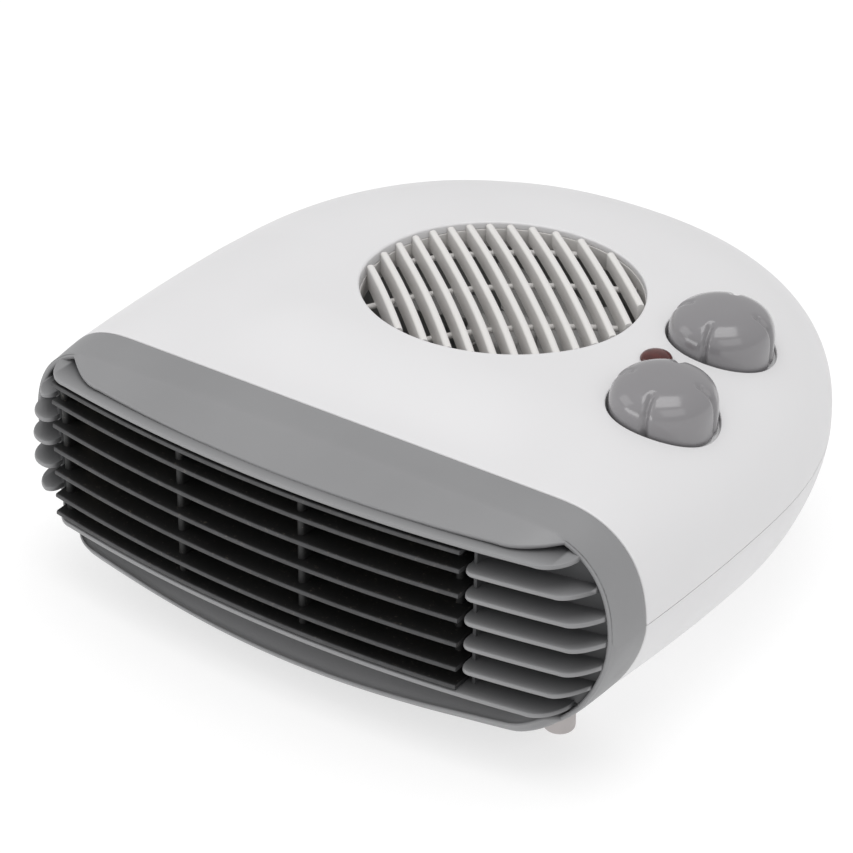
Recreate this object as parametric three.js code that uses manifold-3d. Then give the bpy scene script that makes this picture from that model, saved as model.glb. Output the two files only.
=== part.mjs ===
// Flat fan heater: round-backed plastic case, curved outlet at the front, round air intake on top.
// Millimetres, +Z up, outlet towards -Y, +X towards the side that carries the two control knobs.
// The casing is drawn with y = 0 where the grey front bezel meets the white shells; at the end the
// whole group moves back so that the origin is at the middle of the footprint, on the floor.

import * as THREE from 'three';
import { mergeVertices } from 'three/addons/utils/BufferGeometryUtils.js';
import Module from 'manifold-3d';

const wasm = await Module();
wasm.setup();

// ---- Driving dimensions -------------------------------------------------------------------------

const CLEARANCE = 0.3; // gap between neighbouring pieces
const WALL = 2.5; // moulded wall of the two shells

// Casing: plan outline
const HALF_WIDTH = 126; // half-width at the widest place
const WIDEST_Y = 78; // where the casing is widest
const SIDE_BULGE = 4; // how much narrower each side is at the bezel
const BACK_REACH = 135.7; // from the widest place to the back of the outline
const PLAN_POWER = 2.15; // superellipse power of the round back
// Casing: heights and edge rounding
const PARTING_Z = 55.7; // seam between the two shells
const TOP_RISE = 39.5; // seam to the top face, at the bezel
const BASE_DROP = 47.7; // seam to the underside
const TOP_ROUND = [35, 67.6]; // width of the upper edge rounding at the front and further back
const BASE_ROUND = [36, 28.8]; // width of the lower edge rounding
const TOP_POWER = 2.53;
const BASE_POWER = 1.585;
const ROUND_FULL_Y = 93; // from here back the rounding keeps its full width
const LEAN = 0.1; // backward lean of the plane where bezel and shells meet
const LEAN_END_Y = 60; // the lean fades out towards the back
const UNDERSIDE_Z = PARTING_Z - BASE_DROP;

// Front bezel, fins and outlet grille
const NOSE_Y = -41.7; // foremost point of the fins
const NOSE_CURVE = 0.00094; // the fins' front edge runs back by this times x squared
const NOSE_LEAN = 0.026; // and forwards towards the bottom
const RING_FRONT_Y = -20; // front edge of the ring
const RING_TAPER = 2.2; // how much smaller the ring is at its front edge
const RING_LIP = 1.4;
const FIN_THICKNESS = 1.8;
const TOP_FIN = { z: 87.4, reach: 106.5 };
const BOTTOM_FIN = { z: 29.3, reach: 106 };
const SIDE_FINS = [
  { z: 77.4, reach: 114 },
  { z: 67.8, reach: 117.6 },
  { z: 58.2, reach: 118.4 },
  { z: 48.6, reach: 117.3 },
  { z: 39.0, reach: 113.5 },
];
const FIN_CORNER = 10; // length of the rounded outer end of a fin
const FIN_INNER_CORNER = 3.5;
const VISOR = { reach: 98.5, corner: 18.5, setback: 4.2 };
const CHIN = { reach: 103, corner: 15, setback: 4, sweep: 0.0008, endLift: 4 };
const OUTLET_X = [-105, 73.5]; // the outlet is off-centre, clear of the controls
const RECESS_DEPTH = 12.5;
const RECESS_WALL = 2;
const WEB_Y = [-15.8, -14];
const GRILLE_X = [-103, 72];
const GRILLE_Z = [84.6, 77.4, 67.8, 58.2, 48.6, 39.0, 31.8];
const GRILLE_BARS_X = [-100, -43, 9.5, 67];
const GRILLE_BAR_WIDTH = 3;
const GRILLE_BAR_SETBACK = 3.5;
const GRILLE_REAR_Y = -22;

// Air intake and fan
const FAN = [1, 97.4];
const INTAKE_RADIUS = 51.75;
const SLAT_PITCH = 7.43;
const SLAT_COUNT = 13;
const SLAT_THICKNESS = 2.2;
const SLAT_ANGLE = THREE.MathUtils.degToRad(-43.3);
const SLAT_OFFSET = 1.5; // the middle slat passes this far from the fan's axis
const SLAT_CURVE = 0.00075; // the slats bow sideways by this times the square of the distance from the middle
const SLAT_BOTTOM_Z = 89.6;
const SLAT_SINK = 0.7; // the slats end this far below the casing surface
const SLAT_BARS = [-40, -15, 14, 42];
const COLLAR = { inner: 50.6, outer: 54.6, bottomZ: 87, topZ: 94.4 };
const IMPELLER = { radius: 46, hubRadius: 13, bottomZ: 66, topZ: 84, blades: 5, bladeAngle: 66 };
const SHAFT_RADIUS = 2;
const MOTOR = { stackZ: [40, 56], boreRadius: 13.3, rotorRadius: 12.6, plateZ: [34.5, 60] };
const MOTOR_PLATE = 1.5;
const CLAMP_X = 18.5; // motor clamp screws, either side of the shaft
const MOUNT_X = 34; // motor mounting screws, either side of the shaft

// Controls
const SELECTOR = [88.9, 62.3];
const THERMOSTAT = [81.6, 114.3];
const KNOB = { radius: 18.8, baseZ: 89.8, shoulderZ: 96.4, topZ: 110.9, power: 2.7 };
const KNOB_GROOVES = 4;
const FIRST_GROOVE = THREE.MathUtils.degToRad(10);
const GROOVE_START = 11; // distance of a groove's upper end from the knob's axis
const GROOVE_RADIUS = 1.1;
const POCKET = { radius: 19.7, floorZ: 89.2, wall: 1.5, floor: 1.8 };
const SPINDLE_RADIUS = 3;
const PANEL_Z = 82; // control bracket, underside of the sheet
const PANEL_THICKNESS = 1.2;
const PANEL_HALF_WIDTH = 17.5;
const PANEL_ENDS = [[92.1, 40], [78.4, 137]];
const PANEL_SCREWS = [[91.4, 44.5], [79, 132.5]];
const LENS = { at: [72.3, 85.3], radius: 5.6, barrel: 5, hole: 5.3, seatZ: 98.8 };

// Duct, heater and the rest
const DUCT = { frontY: 8, leftX: -99, rightX: 69, radius: 58, wall: 2, floorZ: 22.5 };
const HEATER = { x: [-98, 66], y: [-20, 7.4], z: [31, 85], wall: 3 };
const FRONT_FEET = [[-89.5, 1], [89.5, 1]];
const REAR_FEET = [[-58, 160], [58, 160]];
const FOOT = { radius: 5.6, pegRadius: 2.5, topZ: 7.7 };
const CASE_SCREWS = [[-103, 26], [103, 26], [-42, 178], [42, 178]];
const CASE_POST = { radius: 6, splitZ: 40, shoulderZ: 22, screwTopZ: 60 };
const GLAND = { x: 0, z: 43, radius: 5, flange: 7, bore: 3.3, outerY: 215, flangeY: 213.2, innerY: 203 };
const CENTRE_Y = 86.25; // middle of the footprint, measured from the bezel line

// ---- Solid helpers ------------------------------------------------------------------------------

function signedVolume(positions, indices) {
  let volume = 0;
  const corner = (index) => new THREE.Vector3().fromArray(positions, index * 3);
  for (let i = 0; i < indices.length; i += 3) {
    volume += corner(indices[i]).dot(corner(indices[i + 1]).cross(corner(indices[i + 2])));
  }
  return volume;
}

function solidOf(geometry) {
  const plain = new THREE.BufferGeometry();
  plain.setAttribute('position', geometry.getAttribute('position').clone());
  if (geometry.index) {
    plain.setIndex(geometry.index.clone());
  }
  const merged = mergeVertices(plain, 1e-4);
  const positions = merged.getAttribute('position').array;
  const indices = [];
  for (let i = 0; i < merged.index.count; i += 3) {
    const [a, b, c] = merged.index.array.slice(i, i + 3);
    if (a !== b && b !== c && a !== c) {
      indices.push(a, b, c);
    }
  }
  if (signedVolume(positions, indices) < 0) {
    indices.reverse();
  }
  return new wasm.Manifold(
    new wasm.Mesh({
      numProp: 3,
      vertProperties: Float32Array.from(positions),
      triVerts: Uint32Array.from(indices),
    }),
  );
}

function geometryOf(solid) {
  const mesh = solid.getMesh();
  const geometry = new THREE.BufferGeometry();
  geometry.setAttribute('position', new THREE.BufferAttribute(Float32Array.from(mesh.vertProperties), 3));
  geometry.setIndex(Array.from(mesh.triVerts));
  geometry.computeVertexNormals();
  return geometry;
}

function join(...solids) {
  return solids.flat().reduce((whole, piece) => whole.add(piece));
}

function cut(solid, ...tools) {
  return tools.flat().reduce((whole, tool) => whole.subtract(tool), solid);
}

function box([x0, x1], [y0, y1], [z0, z1]) {
  const geometry = new THREE.BoxGeometry(x1 - x0, y1 - y0, z1 - z0);
  geometry.translate((x0 + x1) / 2, (y0 + y1) / 2, (z0 + z1) / 2);
  return solidOf(geometry);
}

function rod(radius, [x, y], [z0, z1], segments = 16) {
  const geometry = new THREE.CylinderGeometry(radius, radius, z1 - z0, segments);
  geometry.rotateX(Math.PI / 2);
  geometry.translate(x, y, (z0 + z1) / 2);
  return solidOf(geometry);
}

// A round bar between two points, for bars that don't stand upright.
function bar(radius, from, to, segments = 12) {
  const start = new THREE.Vector3(...from);
  const along = new THREE.Vector3(...to).sub(start);
  const geometry = new THREE.CylinderGeometry(radius, radius, along.length(), segments);
  const turn = new THREE.Quaternion().setFromUnitVectors(new THREE.Vector3(0, 1, 0), along.clone().normalize());
  geometry.applyQuaternion(turn);
  geometry.translate(...start.addScaledVector(along, 0.5).toArray());
  return solidOf(geometry);
}

// A body of revolution about an upright axis; profile points are [radius, z].
function turned(profile, [x, y], segments = 32) {
  const geometry = new THREE.LatheGeometry(profile.map(([r, z]) => new THREE.Vector2(r, z)), segments);
  geometry.rotateX(Math.PI / 2);
  geometry.translate(x, y, 0);
  return solidOf(geometry);
}

// A plan outline raised from z0 to z1, with optional holes.
function slab(outline, [z0, z1], holes = []) {
  const shape = new THREE.Shape(outline.map(([x, y]) => new THREE.Vector2(x, y)));
  holes.forEach((hole) => shape.holes.push(new THREE.Path(hole.map(([x, y]) => new THREE.Vector2(x, y)))));
  const geometry = new THREE.ExtrudeGeometry(shape, { depth: z1 - z0, bevelEnabled: false });
  geometry.translate(0, 0, z0);
  return solidOf(geometry);
}

// A section of [y, z] points drawn out sideways; the section may be hollow-sided.
function drawnSideways(section, [x0, x1]) {
  const shape = new THREE.Shape(section.map(([y, z]) => new THREE.Vector2(y, z)));
  const geometry = new THREE.ExtrudeGeometry(shape, { depth: x1 - x0, bevelEnabled: false });
  geometry.rotateX(Math.PI / 2);
  geometry.rotateZ(Math.PI / 2);
  geometry.translate(x0, 0, 0);
  return solidOf(geometry);
}

function solidFrom(loops, rows, closed) {
  const count = loops[0].length;
  const geometry = new THREE.BufferGeometry();
  geometry.setAttribute('position', new THREE.Float32BufferAttribute(loops.flat(2), 3));
  const indices = [];
  for (let row = 0; row < rows; row += 1) {
    const here = row * count;
    const next = ((row + 1) % loops.length) * count;
    for (let i = 0; i < count; i += 1) {
      const j = (i + 1) % count;
      indices.push(here + i, here + j, next + j, here + i, next + j, next + i);
    }
  }
  if (!closed) {
    const last = (loops.length - 1) * count;
    for (let i = 0; i < count / 2 - 1; i += 1) {
      const far = count - 1 - i;
      indices.push(i, far, far - 1, i, far - 1, i + 1);
      indices.push(last + i, last + far - 1, last + far, last + i, last + i + 1, last + far - 1);
    }
  }
  geometry.setIndex(indices);
  return solidOf(geometry);
}

// Skins a row of equal, even-numbered loops and closes both ends.
function stacked(loops) {
  return solidFrom(loops, loops.length - 1, false);
}

// Skins a ring of loops, the last one joined to the first.
function ring(loops) {
  return solidFrom(loops, loops.length, true);
}

// ---- Casing surface -----------------------------------------------------------------------------

const SIDE_STEPS = 4;
const BACK_STEPS = 9;
const LEVELS = 5;

// Right-hand half of the plan outline, from the bezel to the back, with its outward normals.
function planOutline() {
  const points = [];
  for (let i = 0; i <= SIDE_STEPS; i += 1) {
    const y = (WIDEST_Y * i) / SIDE_STEPS;
    points.push([HALF_WIDTH - SIDE_BULGE * (1 - y / WIDEST_Y) ** 2, y]);
  }
  for (let i = 1; i <= BACK_STEPS; i += 1) {
    const angle = ((Math.PI / 2) * i) / (BACK_STEPS + 0.5);
    points.push([
      HALF_WIDTH * Math.cos(angle) ** (2 / PLAN_POWER),
      WIDEST_Y + BACK_REACH * Math.sin(angle) ** (2 / PLAN_POWER),
    ]);
  }
  return points.map(([x, y], i) => {
    const before = points[Math.max(0, i - 1)];
    const after = points[i + 1] ?? [-x, y];
    const length = Math.hypot(after[0] - before[0], after[1] - before[1]);
    const normal = i === 0 ? [1, 0] : [(after[1] - before[1]) / length, (before[0] - after[0]) / length];
    return { x, y, normal };
  });
}

const OUTLINE = planOutline();

function topRise(y) {
  return TOP_RISE + 0.06 * y - 2.53 * (y / 100) ** 2;
}

function leanAt(y, z) {
  return -LEAN * (z - PARTING_Z) * (1 - Math.min(1, Math.max(0, y) / LEAN_END_Y));
}

// One horizontal loop of the casing. Level runs from -1 at the underside through 0 at the seam to
// 1 at the top face; wall is the distance inside the outer surface.
function casingLoop(level, wall, frontY) {
  const upper = level >= 0;
  const power = 2 / (upper ? TOP_POWER : BASE_POWER);
  const across = Math.cos((Math.abs(level) * Math.PI) / 2) ** power;
  const rise = Math.sin((Math.abs(level) * Math.PI) / 2) ** power;
  const [frontRound, backRound] = upper ? TOP_ROUND : BASE_ROUND;
  const half = OUTLINE.map(({ x, y, normal }, i) => {
    const rounding = THREE.MathUtils.lerp(frontRound, backRound, Math.min(1, y / ROUND_FULL_Y));
    const inset = wall + (rounding - wall) * (1 - across);
    const insetY = y - normal[1] * inset * Math.min(1, y / LEAN_END_Y);
    const z = PARTING_Z + (upper ? topRise(insetY) - wall : wall - BASE_DROP) * rise;
    const ownY = i === 0 ? frontY : insetY;
    return [x - normal[0] * inset, ownY + leanAt(insetY, z), z];
  });
  const mirrored = half.map(([x, y, z]) => [-x, y, z]).reverse();
  return [...half, ...mirrored];
}

// The casing as one solid block, its surface moved inwards by wall.
function casing(wall, frontY = 0) {
  const loops = [];
  for (let i = -LEVELS; i <= LEVELS; i += 1) {
    loops.push(casingLoop(i / LEVELS, wall, frontY));
  }
  return stacked(loops);
}

const BIG = [-200, 300];
const ABOVE_SEAM = box(BIG, BIG, [PARTING_Z + CLEARANCE / 2, 200]);
const BELOW_SEAM = box(BIG, BIG, [-10, PARTING_Z - CLEARANCE / 2]);
const OUTER = casing(0);
const INNER = casing(WALL, -10);
const ROOTED = casing(1); // posts and cups end inside the wall

// ---- Shells -------------------------------------------------------------------------------------

function topShell() {
  const cups = [SELECTOR, THERMOSTAT].map((at) =>
    rod(POCKET.radius + POCKET.wall, at, [POCKET.floorZ - POCKET.floor, 105], 26).intersect(ROOTED));
  const casePosts = CASE_SCREWS.map((at) =>
    rod(CASE_POST.radius, at, [CASE_POST.splitZ + CLEARANCE, 105]).intersect(ROOTED));
  const panelPosts = PANEL_SCREWS.map((at) =>
    rod(3.6, at, [PANEL_Z + PANEL_THICKNESS + CLEARANCE, 105]).intersect(ROOTED));
  const shell = join(cut(OUTER.intersect(ABOVE_SEAM), INNER), cups, casePosts, panelPosts);
  return cut(
    shell,
    rod(INTAKE_RADIUS, FAN, [80, 110], 40),
    rod(LENS.hole, LENS.at, [91, 110]),
    [SELECTOR, THERMOSTAT].map((at) => rod(POCKET.radius, at, [POCKET.floorZ, 115], 28)),
    [SELECTOR, THERMOSTAT].map((at) => rod(SPINDLE_RADIUS + 1.2, at, [80, 100])),
    CASE_SCREWS.map((at) => rod(1.9, at, [CASE_POST.splitZ - 1, CASE_POST.screwTopZ + 1], 10)),
    PANEL_SCREWS.map((at) => rod(1.4, at, [PANEL_Z, 90], 10)),
  );
}

function baseShell() {
  const posts = CASE_SCREWS.map((at) =>
    rod(CASE_POST.radius, at, [0, CASE_POST.splitZ]).intersect(ROOTED));
  const shell = join(cut(OUTER.intersect(BELOW_SEAM), INNER), posts);
  return cut(
    shell,
    CASE_SCREWS.map((at) => rod(1.9, at, [0, 50], 10)),
    CASE_SCREWS.map((at) => rod(4.2, at, [0, CASE_POST.shoulderZ], 14)),
    REAR_FEET.map((at) => rod(FOOT.pegRadius + CLEARANCE, at, [0, 14], 12)),
    bar(GLAND.radius + CLEARANCE, [GLAND.x, 190, GLAND.z], [GLAND.x, 230, GLAND.z], 16),
  );
}

// ---- Front bezel and grille ---------------------------------------------------------------------

const CORNER_STEPS = 5;

// The front outline in x and z, at a distance inside the casing surface, run round from the right.
function frontOutline(inset) {
  const quarter = (width, height, power) => {
    const points = [];
    for (let i = 0; i <= CORNER_STEPS; i += 1) {
      const angle = ((Math.PI / 2) * i) / CORNER_STEPS;
      points.push([(width - inset) * Math.cos(angle) ** (2 / power), (height - inset) * Math.sin(angle) ** (2 / power)]);
    }
    return points;
  };
  const frontHalf = HALF_WIDTH - SIDE_BULGE;
  const upper = quarter(TOP_ROUND[0], TOP_RISE, TOP_POWER)
    .map(([x, z]) => [frontHalf - TOP_ROUND[0] + x, PARTING_Z + z]);
  const lower = quarter(BASE_ROUND[0], BASE_DROP, BASE_POWER)
    .map(([x, z]) => [frontHalf - BASE_ROUND[0] + x, PARTING_Z - z]);
  const right = [...lower.reverse().slice(0, -1), ...upper];
  const left = right.map(([x, z]) => [-x, z]).reverse();
  return [...right, ...left];
}

function frontLoop(inset, y, lean) {
  return frontOutline(inset).map(([x, z]) => [x, y - lean * LEAN * (z - PARTING_Z), z]);
}

// A straight prism of the front outline, used to trim what sits inside the ring.
function frontPrism(inset) {
  return stacked([frontLoop(inset, -60, 0), frontLoop(inset, 20, 0)]);
}

function noseY(x, z) {
  return NOSE_Y + NOSE_CURVE * x * x + NOSE_LEAN * (z - 60);
}

// Front edge of a fin or lip: the nose curve, rounded off towards the ring at its outer end.
function edgeY(x, z, { setback = 0, reach, corner = FIN_CORNER }) {
  const start = reach - corner;
  const bend = Math.min(1, Math.max(0, (Math.abs(x) - start) / corner));
  const straight = noseY(Math.min(Math.abs(x), start), z) + setback;
  const end = RING_FRONT_Y - 0.5;
  return end + (straight - end) * Math.sqrt(1 - bend * bend);
}

// Places along a front edge, closer together where its outer ends are rounded.
function edgeStations({ reach, corner = FIN_CORNER }, from) {
  const straight = reach - corner;
  const stations = [from];
  for (let i = 1; i < 4; i += 1) {
    stations.push(THREE.MathUtils.lerp(from, straight, i / 4));
  }
  for (let i = 0; i <= 3; i += 1) {
    stations.push(straight + corner * Math.sin((Math.PI / 2) * (i / 3)));
  }
  return stations.filter((x, i) => i === 0 || x > from + 0.5);
}

function fullWidthPlan(edge, z, rearY) {
  const right = edgeStations(edge, 0).map((x) => [x, edgeY(x, z, edge)]);
  const left = right.slice(1).map(([x, y]) => [-x, y]).reverse();
  return [...left, ...right, [edge.reach, rearY], [-edge.reach, rearY]];
}

// Short fin on one side: its inner end is rounded too and stands over the outlet's end wall.
function sideFin({ z, reach }, innerX, side) {
  const edge = { reach };
  const start = innerX + FIN_INNER_CORNER;
  const front = edgeY(start, z, edge);
  const inner = [];
  for (let i = 0; i < 3; i += 1) {
    const angle = ((Math.PI / 2) * i) / 3;
    inner.push([start - FIN_INNER_CORNER * Math.cos(angle), front + FIN_INNER_CORNER * (1 - Math.sin(angle))]);
  }
  const rearInner = noseY(innerX, z) + RECESS_DEPTH + 1;
  const plan = [
    [innerX, rearInner],
    ...inner,
    ...edgeStations(edge, start).map((x) => [x, edgeY(x, z, edge)]),
    [reach, RING_FRONT_Y + 4.5],
  ].map(([x, y]) => [side * x, y]);
  return slab(plan, [z - FIN_THICKNESS / 2, z + FIN_THICKNESS / 2]);
}

// Closed pocket behind the short fins: a curved back wall and a return wall beside the outlet.
function recess(innerX, side) {
  const wall = [];
  const steps = 6;
  for (let i = 0; i <= steps; i += 1) {
    const x = THREE.MathUtils.lerp(innerX, 121, i / steps);
    wall.push([side * x, noseY(x, 60) + RECESS_DEPTH]);
  }
  const back = wall.map(([x, y]) => [x, y + RECESS_WALL]).reverse();
  const z = [BOTTOM_FIN.z, TOP_FIN.z];
  const endX = side > 0 ? [innerX, innerX + RECESS_WALL] : [-innerX - RECESS_WALL, -innerX];
  const end = box(endX, [noseY(innerX, 60) + 8.5, noseY(innerX, 60) + RECESS_DEPTH + RECESS_WALL], z);
  return join(slab([...wall, ...back], z), end);
}

// Visor over the outlet: a thin shelf that falls gently towards its front edge.
function visor() {
  const plan = slab(fullWidthPlan(VISOR, 90, -12), [80, 100]);
  const top = [[-12, 93.7], [-16, 93.3], [-22, 92.6], [-28, 91.9], [-34, 91.2], [-39, 90.5]];
  const under = [[-39, 89.3], [-34, 89.6], [-28, 90.2], [-22, 90.9], [-16, 91.5], [-12, 91.8]];
  const section = [...top, ...under];
  const shelf = stacked([-110, 110].map((x) => section.map(([y, z]) => [x, y, z])));
  return plan.intersect(shelf).intersect(frontPrism(1.8));
}

// Chin below the outlet: a low curled lip that rises towards both ends.
function chin() {
  const outside = [[-13, 8.9], [-24, 9.2], [-30, 9.4], [-34.5, 10.2], [-36.7, 12], [-37.4, 14.4]];
  const inside = [[-36.6, 15.8], [-35.4, 15.6], [-30, 14.4], [-22, 13.6], [-13, 13.4]];
  const section = [...outside, ...inside];
  const frontHalf = HALF_WIDTH - SIDE_BULGE;
  const right = edgeStations(CHIN, 0);
  const stations = [...right.slice(1).map((x) => -x).reverse(), ...right];
  const frontAtMiddle = edgeY(0, 20, CHIN);
  const loops = stations.map((x) => {
    const beyond = Math.max(0, Math.abs(x) - (CHIN.reach - CHIN.corner)) / CHIN.corner;
    const lift = CHIN.sweep * x * x + CHIN.endLift * beyond * beyond;
    const across = Math.max(0, (Math.abs(x) - frontHalf + BASE_ROUND[0]) / BASE_ROUND[0]) ** BASE_POWER;
    const ringLift = BASE_DROP * (1 - (1 - across) ** (1 / BASE_POWER));
    const back = edgeY(x, 20, CHIN) - frontAtMiddle;
    return section.map(([y, z]) => {
      const forward = (y + 13) / (frontAtMiddle + 13);
      return [x, y + back * forward, z + THREE.MathUtils.lerp(ringLift, lift, Math.min(1, forward * 1.2))];
    });
  });
  return stacked(loops);
}

function frontBezel() {
  const taper = [0, 0.5, 1];
  const outside = taper.map((t) => frontLoop(RING_TAPER * t * t, RING_FRONT_Y * t - CLEARANCE * (1 - t), 1 - t));
  const innerInset = RING_TAPER + RING_LIP;
  const band = ring([...outside, frontLoop(innerInset, RING_FRONT_Y, 0), frontLoop(innerInset, -CLEARANCE, 1)]);
  const spigotInsets = [WALL + CLEARANCE, WALL + CLEARANCE + 1.6];
  const spigot = ring([
    frontLoop(spigotInsets[0], -4, 1),
    frontLoop(spigotInsets[0], 6, 1),
    frontLoop(spigotInsets[1], 6, 1),
    frontLoop(spigotInsets[1], -4, 1),
  ]);
  const thick = (z) => [z - FIN_THICKNESS / 2, z + FIN_THICKNESS / 2];
  const topFin = slab(fullWidthPlan(TOP_FIN, TOP_FIN.z, WEB_Y[1]), thick(TOP_FIN.z));
  const bottomFin = slab(fullWidthPlan(BOTTOM_FIN, BOTTOM_FIN.z, WEB_Y[1]), thick(BOTTOM_FIN.z));
  const innerX = { right: OUTLET_X[1], left: -OUTLET_X[0] };
  const sideFins = SIDE_FINS.flatMap((fin) => [
    sideFin(fin, innerX.right - 0.7, 1),
    sideFin(fin, innerX.left + 0.5, -1),
  ]);
  const inside = frontPrism(innerInset - 0.7);
  const recesses = [recess(innerX.right, 1), recess(innerX.left, -1)].map((solid) => solid.intersect(inside));
  const webs = [
    box([-108, 108], WEB_Y, [TOP_FIN.z, 93.5]),
    box([-108, 108], WEB_Y, [9.5, BOTTOM_FIN.z]),
  ].map((solid) => solid.intersect(inside));
  const whole = join(band, spigot, visor(), chin(), topFin, bottomFin, sideFins, recesses, webs);
  return cut(whole, FRONT_FEET.map((at) => rod(FOOT.pegRadius + CLEARANCE, at, [0, 16], 16)));
}

function outletGrille() {
  const slats = GRILLE_Z.map((z) => {
    const front = [];
    const steps = 6;
    for (let i = 0; i <= steps; i += 1) {
      const x = THREE.MathUtils.lerp(GRILLE_X[0], GRILLE_X[1], i / steps);
      front.push([x, noseY(x, z)]);
    }
    const plan = [...front, [GRILLE_X[1], GRILLE_REAR_Y - 2], [GRILLE_X[0], GRILLE_REAR_Y - 2]];
    return slab(plan, [z - FIN_THICKNESS / 2, z + FIN_THICKNESS / 2]);
  });
  const bars = GRILLE_BARS_X.map((x) => {
    const atEnd = x === GRILLE_BARS_X[0] || x === GRILLE_BARS_X[GRILLE_BARS_X.length - 1];
    const frontY = atEnd ? GRILLE_REAR_Y - 5 : noseY(x, 60) + GRILLE_BAR_SETBACK;
    const halfWidth = GRILLE_BAR_WIDTH / 2;
    return box([x - halfWidth, x + halfWidth], [frontY, GRILLE_REAR_Y], [GRILLE_Z[6] - 0.9, GRILLE_Z[0] + 0.9]);
  });
  return join(slats, bars);
}

// ---- Intake grille ------------------------------------------------------------------------------

function intakeGrille() {
  const along = [Math.cos(SLAT_ANGLE), Math.sin(SLAT_ANGLE)];
  const across = [-along[1], along[0]];
  const half = 54;
  const slats = [];
  for (let i = 0; i < SLAT_COUNT; i += 1) {
    const offset = (i - (SLAT_COUNT - 1) / 2) * SLAT_PITCH + SLAT_OFFSET;
    const corner = (s, t) => {
      const aside = offset - SLAT_CURVE * (s * half) ** 2 + (t * SLAT_THICKNESS) / 2;
      return [FAN[0] + along[0] * s * half + across[0] * aside, FAN[1] + along[1] * s * half + across[1] * aside];
    };
    const stops = [-1, -0.5, 0, 0.5, 1];
    const plan = [...stops.map((s) => corner(s, -1)), ...stops.reverse().map((s) => corner(s, 1))];
    slats.push(slab(plan, [SLAT_BOTTOM_Z, 101]));
  }
  const crownLine = [40, 80, 120, 160].map((y) => [y, PARTING_Z + topRise(y) - SLAT_SINK]);
  const crownSection = [...crownLine, [160, 80], [40, 80]];
  const crown = drawnSideways(crownSection, [-60, 60]);
  const opening = rod(INTAKE_RADIUS - 0.4, FAN, [80, 105], 40);
  const blades = join(slats).intersect(opening).intersect(crown);
  const bars = SLAT_BARS.map((offset) => {
    const reach = Math.sqrt((COLLAR.inner + 1) ** 2 - offset ** 2);
    const end = (sign) => [
      FAN[0] + along[0] * offset + sign * across[0] * reach,
      FAN[1] + along[1] * offset + sign * across[1] * reach,
      SLAT_BOTTOM_Z - 0.4,
    ];
    return bar(1.1, end(-1), end(1), 8);
  });
  const { inner, outer, bottomZ, topZ } = COLLAR;
  const section = [[inner, bottomZ], [outer, bottomZ], [outer, topZ], [inner, topZ], [inner, bottomZ]];
  const collar = turned(section, FAN, 40);
  return join(blades, bars, collar);
}

// ---- Controls -----------------------------------------------------------------------------------

// Domed knob with upright sides, a flattened crown and four radial grooves.
function knob(at) {
  const { radius, baseZ, shoulderZ, topZ, power } = KNOB;
  const profile = [[0, baseZ], [radius, baseZ], [radius, shoulderZ]];
  const steps = 6;
  for (let i = 1; i <= steps; i += 1) {
    const angle = ((Math.PI / 2) * i) / steps;
    const r = i === steps ? 0 : radius * Math.cos(angle) ** (2 / power);
    profile.push([r, shoulderZ + (topZ - shoulderZ) * Math.sin(angle) ** (2 / power)]);
  }
  const dome = turned(profile, at, 26);
  const grooves = [];
  for (let i = 0; i < KNOB_GROOVES; i += 1) {
    const angle = FIRST_GROOVE + (Math.PI * 2 * i) / KNOB_GROOVES;
    const place = (r, z) => [at[0] + r * Math.cos(angle), at[1] + r * Math.sin(angle), z];
    grooves.push(bar(GROOVE_RADIUS, place(GROOVE_START, topZ - 0.4), place(radius - 3, topZ - 3.6), 6));
    grooves.push(bar(GROOVE_RADIUS, place(radius - 3, topZ - 3.6), place(radius + 0.6, baseZ - 2), 6));
  }
  return cut(dome, grooves, rod(SPINDLE_RADIUS + CLEARANCE, at, [baseZ - 1, 101]));
}

function spindle(at, topZ) {
  return join(rod(SPINDLE_RADIUS, at, [66, topZ]), rod(5.2, at, [66, 67.5]));
}

function threadedBush(at) {
  return rod(4.8, at, [79, 86.4]);
}

function spindleBore(at) {
  return [rod(SPINDLE_RADIUS + CLEARANCE, at, [66, 90]), rod(5.6, at, [65.6, 68])];
}

function selectorSwitch() {
  const [x, y] = SELECTOR;
  const top = PANEL_Z - CLEARANCE;
  const body = box([x - 13.2, x + 13.2], [y - 14, y + 14], [61, top]);
  const tabs = [-9, -4, 4, 9].map((dx) => box([x + dx - 0.4, x + dx + 0.4], [y - 3, y + 3], [54, 61.5]));
  return cut(join(body, threadedBush(SELECTOR), tabs), spindleBore(SELECTOR));
}

function thermostatBody() {
  const [x, y] = THERMOSTAT;
  const top = PANEL_Z - CLEARANCE;
  const plate = box([x - 11, x + 11], [y - 15, y + 15], [top - 3, top]);
  const stack = box([x - 8, x + 8], [y - 14, y - 6.5], [64, top]);
  const barrel = rod(6.8, THERMOSTAT, [64, top]);
  const blades = [66, 70, 74].map((z) => box([x - 4, x + 4], [y - 15, y + 13], [z, z + 0.8]));
  const bore = rod(SPINDLE_RADIUS + CLEARANCE, THERMOSTAT, [60, 90]);
  return cut(join(plate, stack, barrel, blades, threadedBush(THERMOSTAT)), bore, rod(5.6, THERMOSTAT, [60, 68]));
}

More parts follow.
